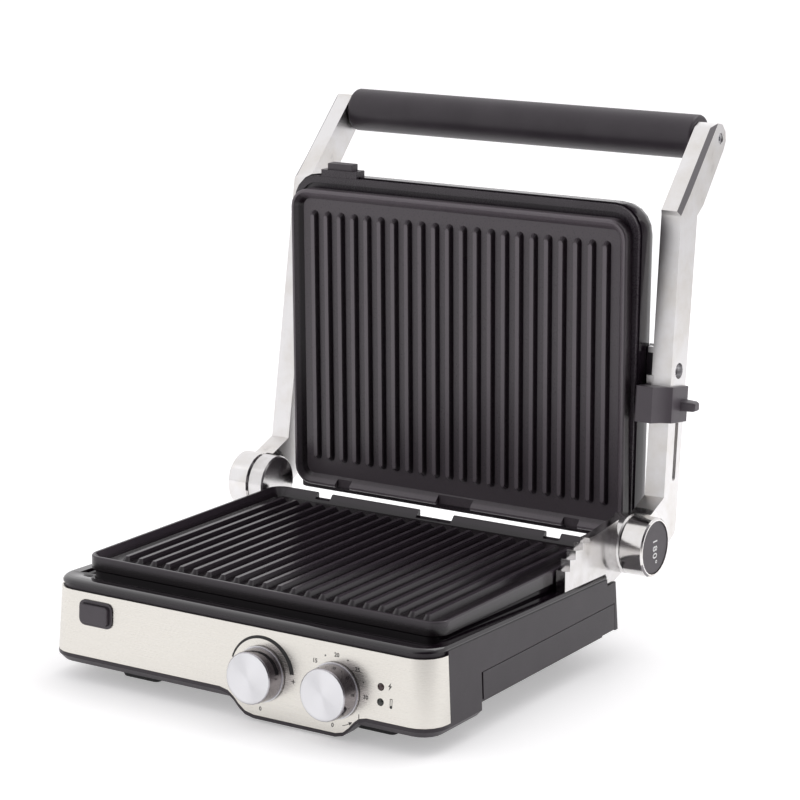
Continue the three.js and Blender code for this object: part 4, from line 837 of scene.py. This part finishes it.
def clock(radius, degrees):
    """Point on a dial's circle: degrees run clockwise from the top."""
    turn = math.radians(degrees)
    return radius * math.sin(turn), radius * math.cos(turn)


def swept_arc(radius, start, end, first_width, last_width, steps):
    """Outline of an arc whose width changes evenly along it."""
    inner = []
    outer = []
    for i in range(steps + 1):
        share = i / steps
        angle = start + (end - start) * share
        half = (first_width + (last_width - first_width) * share) / 2
        inner.append(clock(radius - half, angle))
        outer.append(clock(radius + half, angle))
    return outer[::-1] + inner


def dot(x, y, radius):
    """Outline of a round spot."""
    turns = (2 * math.pi * i / DOT_STEPS for i in range(DOT_STEPS))
    return [(x + radius * math.cos(t), y + radius * math.sin(t)) for t in turns]


def bar(x0, y0, x1, y1, width):
    """Outline of a straight stroke."""
    along = Vector((x1 - x0, y1 - y0)).normalized()
    side = Vector((-along.y, along.x)) * (width / 2)
    return [
        (x0 - side.x, y0 - side.y),
        (x1 - side.x, y1 - side.y),
        (x1 + side.x, y1 + side.y),
        (x0 + side.x, y0 + side.y),
    ]


def level_bar(x, y):
    return bar(x - SIGN_HALF, y, x + SIGN_HALF, y, SIGN_STROKE)


def dial_number(name, words, place, radius, degrees):
    """A number on the fascia, upright, at a radius and an angle of a dial."""
    x, y = clock(radius, degrees)
    spot = place @ Matrix.Translation((x * MM, y * MM, 0.0))
    printed_number(name, words, NUMBER_SIZE, spot, *FASCIA_PRINT)


def mark_temperature_dial():
    """Arc with a minus and a plus at its ends, and a nought below."""
    place = fascia_frame(*TEMPERATURE_SPOT)
    minus = clock(*MINUS_AT)
    x, y = clock(*PLUS_AT)
    outlines = [swept_arc(*TEMPERATURE_ARC), level_bar(*minus), level_bar(x, y)]
    flat_mesh("temperature_marks", outlines, place, *FASCIA_PRINT)
    upright = [bar(x, y - SIGN_HALF, x, y + SIGN_HALF, SIGN_STROKE)]
    higher = place @ Matrix.Translation((0.0, 0.0, PRINT_DEEP))
    flat_mesh("temperature_plus_upright", upright, higher, *FASCIA_PRINT)
    dial_number("temperature_zero", "0", place, *ZERO_AT)


def mark_timer_dial():
    """Minutes with dots between them, and an arrow from nought to always on."""
    place = fascia_frame(*TIMER_SPOT)
    for name, (words, degrees) in TIMER_NUMBERS.items():
        dial_number(name, words, place, TIMER_NUMBER_RADIUS, degrees)
    spots = [clock(TIMER_DOTS_AT, degrees) for degrees in TIMER_DOTS]
    outlines = [dot(*spot, TIMER_DOT_RADIUS) for spot in spots]
    outlines.append(swept_arc(*ARROW_SHAFT)[::-1])
    outlines.append([clock(*corner) for corner in reversed(ARROW_HEAD)])
    flat_mesh("timer_marks", outlines, place, *FASCIA_PRINT)


def mark_indicators():
    """A bolt and a thermometer beside the two lenses."""
    flat_mesh("power_symbol", [BOLT], fascia_frame(*POWER_SPOT), *FASCIA_PRINT)
    meter = [dot(*METER_BULB)] + [bar(*ends, METER_STROKE) for ends in METER_BARS]
    flat_mesh("heat_symbol", meter, fascia_frame(*HEAT_SPOT), *FASCIA_PRINT)


def mark_hub_button():
    """The number of degrees on the right hub, read downwards."""
    turn = Matrix((-UP, REARWARD, RIGHT)).transposed().to_4x4()
    place = Matrix.Translation(HUB_BUTTON_FACE + RIGHT * PRINT_LIFT) @ turn
    printed_number(
        "hub_number",
        "180\u00b0",
        HUB_NUMBER_SIZE,
        place,
        *HUB_PRINT,
        HUB_NUMBER_SPACING,
    )


mark_temperature_dial()
mark_timer_dial()
mark_indicators()
mark_hub_button()

# ---------------------------------------------------------------- studio

# The floor is white where the photograph's camera sees it. Outside that view, to the
# right and to the front, it fades to grey, which that camera meets only in reflections.
# Each fade is a direction and the two distances along it, in metres, where it starts
# and ends.
FLOOR_HALF = 15.0
FLOOR_NEAR_TONE = (0.86, 0.855, 0.86)
FLOOR_FAR_TONE = (0.56, 0.555, 0.56)
FLOOR_NEAR_GLOW = (1.0, 1.0, 1.0)
FLOOR_FAR_GLOW = (0.4, 0.4, 0.4)
FLOOR_GLOW_STRENGTH = 0.36
FLOOR_ROUGH = 0.7
FLOOR_SPECULAR = 0.15
FADE_RIGHT = ((0.91, 0.415, 0.0), 0.7, 1.9)
FADE_FRONT = ((0.7, -0.714, 0.0), 0.39, 0.72)

# The world's dim patch: the way to its middle, the tones outside and inside it, and the
# cosines of the angles off its middle at which the tone starts and stops falling.
DIM_TOWARD = Vector((0.62, -0.66, 0.42)).normalized()
BRIGHT_SKY = (1.0, 0.99, 1.0)
DIM_SKY = (0.1, 0.09, 0.1)
DIM_FADE = (0.55, 0.93)

# Lamps: place, aim, size and power.
LAMPS = {
    "overhead": ((0.35, 1.1, 2.0), (0.0, 0.0, 0.1), (1.8, 1.2), 12.0),
    "left_side": ((-2.0, -0.6, 1.2), (0.0, 0.0, 0.15), (1.4, 1.6), 1.2),
}

# The photograph's camera, solved from the parallel edges of the plates and the base:
# angles in degrees, distance and target in metres, and the focal length as a share of
# the picture's width.
CAMERA_AZIMUTH = 32.631
CAMERA_ELEVATION = 12.954
CAMERA_ROLL = 0.193
CAMERA_DISTANCE = 1.9169024
CAMERA_TARGET = Vector((0.054018, -0.06550975, 0.204631))
CAMERA_REACH = 60.0
SENSOR = 36.0
FOCAL_SHARE = 2745.1917 / 800


def falling_off(tree, direction, near, far):
    """One short of the near distance along a direction, and nought beyond the far."""
    coords = tree.nodes.new("ShaderNodeTexCoord").outputs["Object"]
    along = vector_math(tree, "DOT_PRODUCT", coords, direction)
    return ranged(tree, along, 1.0, 0.0, near, far)


def white_floor():
    mesh = bpy.data.meshes.new("floor")
    signs = ((-1.0, -1.0), (1.0, -1.0), (1.0, 1.0), (-1.0, 1.0))
    corners = [(FLOOR_HALF * x, FLOOR_HALF * y, 0.0) for x, y in signs]
    mesh.from_pydata(corners, [], [(0, 1, 2, 3)])
    floor = add_object("floor", mesh)
    mat, tree, shader = new_material("floor", roughness=FLOOR_ROUGH)
    shader.inputs["Specular IOR Level"].default_value = FLOOR_SPECULAR
    shader.inputs["Emission Strength"].default_value = FLOOR_GLOW_STRENGTH
    to_right = falling_off(tree, *FADE_RIGHT)
    to_front = falling_off(tree, *FADE_FRONT)
    near = combined(tree, "MULTIPLY", to_right, to_front)
    paint = shaded(tree, near, FLOOR_FAR_TONE, FLOOR_NEAR_TONE, 0.0, 1.0)
    glow = shaded(tree, near, FLOOR_FAR_GLOW, FLOOR_NEAR_GLOW, 0.0, 1.0)
    tree.links.new(paint, shader.inputs["Base Color"])
    tree.links.new(glow, shader.inputs["Emission Color"])
    mesh.materials.append(mat)


def soft_light(name, place, aim, size, power):
    lamp = bpy.data.lights.new(name, "AREA")
    lamp.shape = "RECTANGLE"
    lamp.size, lamp.size_y = size
    lamp.energy = power
    light = add_object(name, lamp)
    light.location = place
    toward = Vector(aim) - Vector(place)
    light.rotation_euler = toward.to_track_quat("-Z", "Y").to_euler()


def studio_world():
    """Bright all round, apart from a dim patch above and behind the camera."""
    world = bpy.data.worlds.new("studio")
    bpy.context.scene.world = world
    world.use_nodes = True
    tree = world.node_tree
    coords = tree.nodes.new("ShaderNodeTexCoord").outputs["Generated"]
    toward = vector_math(tree, "DOT_PRODUCT", coords, DIM_TOWARD)
    sky = shaded(tree, toward, BRIGHT_SKY, DIM_SKY, *DIM_FADE)
    tree.links.new(sky, tree.nodes["Background"].inputs["Color"])
    tree.nodes["Background"].inputs["Strength"].default_value = 1.0


def photo_camera():
    azimuth = math.radians(CAMERA_AZIMUTH)
    elevation = math.radians(CAMERA_ELEVATION)
    roll = math.radians(CAMERA_ROLL)
    back = Vector(
        (
            math.sin(azimuth) * math.cos(elevation),
            -math.cos(azimuth) * math.cos(elevation),
            math.sin(elevation),
        )
    )
    right = (-back).cross(UP).normalized()
    up = right.cross(-back)
    rolled_right = right * math.cos(roll) + up * math.sin(roll)
    rolled_up = up * math.cos(roll) - right * math.sin(roll)
    lens = bpy.data.cameras.new("camera")
    lens.sensor_width = SENSOR
    lens.lens = SENSOR * FOCAL_SHARE
    lens.clip_end = CAMERA_REACH
    camera = add_object("camera", lens)
    turn = Matrix((rolled_right, rolled_up, back)).transposed().to_4x4()
    place = Matrix.Translation(CAMERA_TARGET + back * CAMERA_DISTANCE)
    camera.matrix_world = place @ turn
    bpy.context.scene.camera = camera


bpy.context.scene.view_settings.view_transform = "Standard"
white_floor()
studio_world()
for name, values in LAMPS.items():
    soft_light(name, *values)
photo_camera()
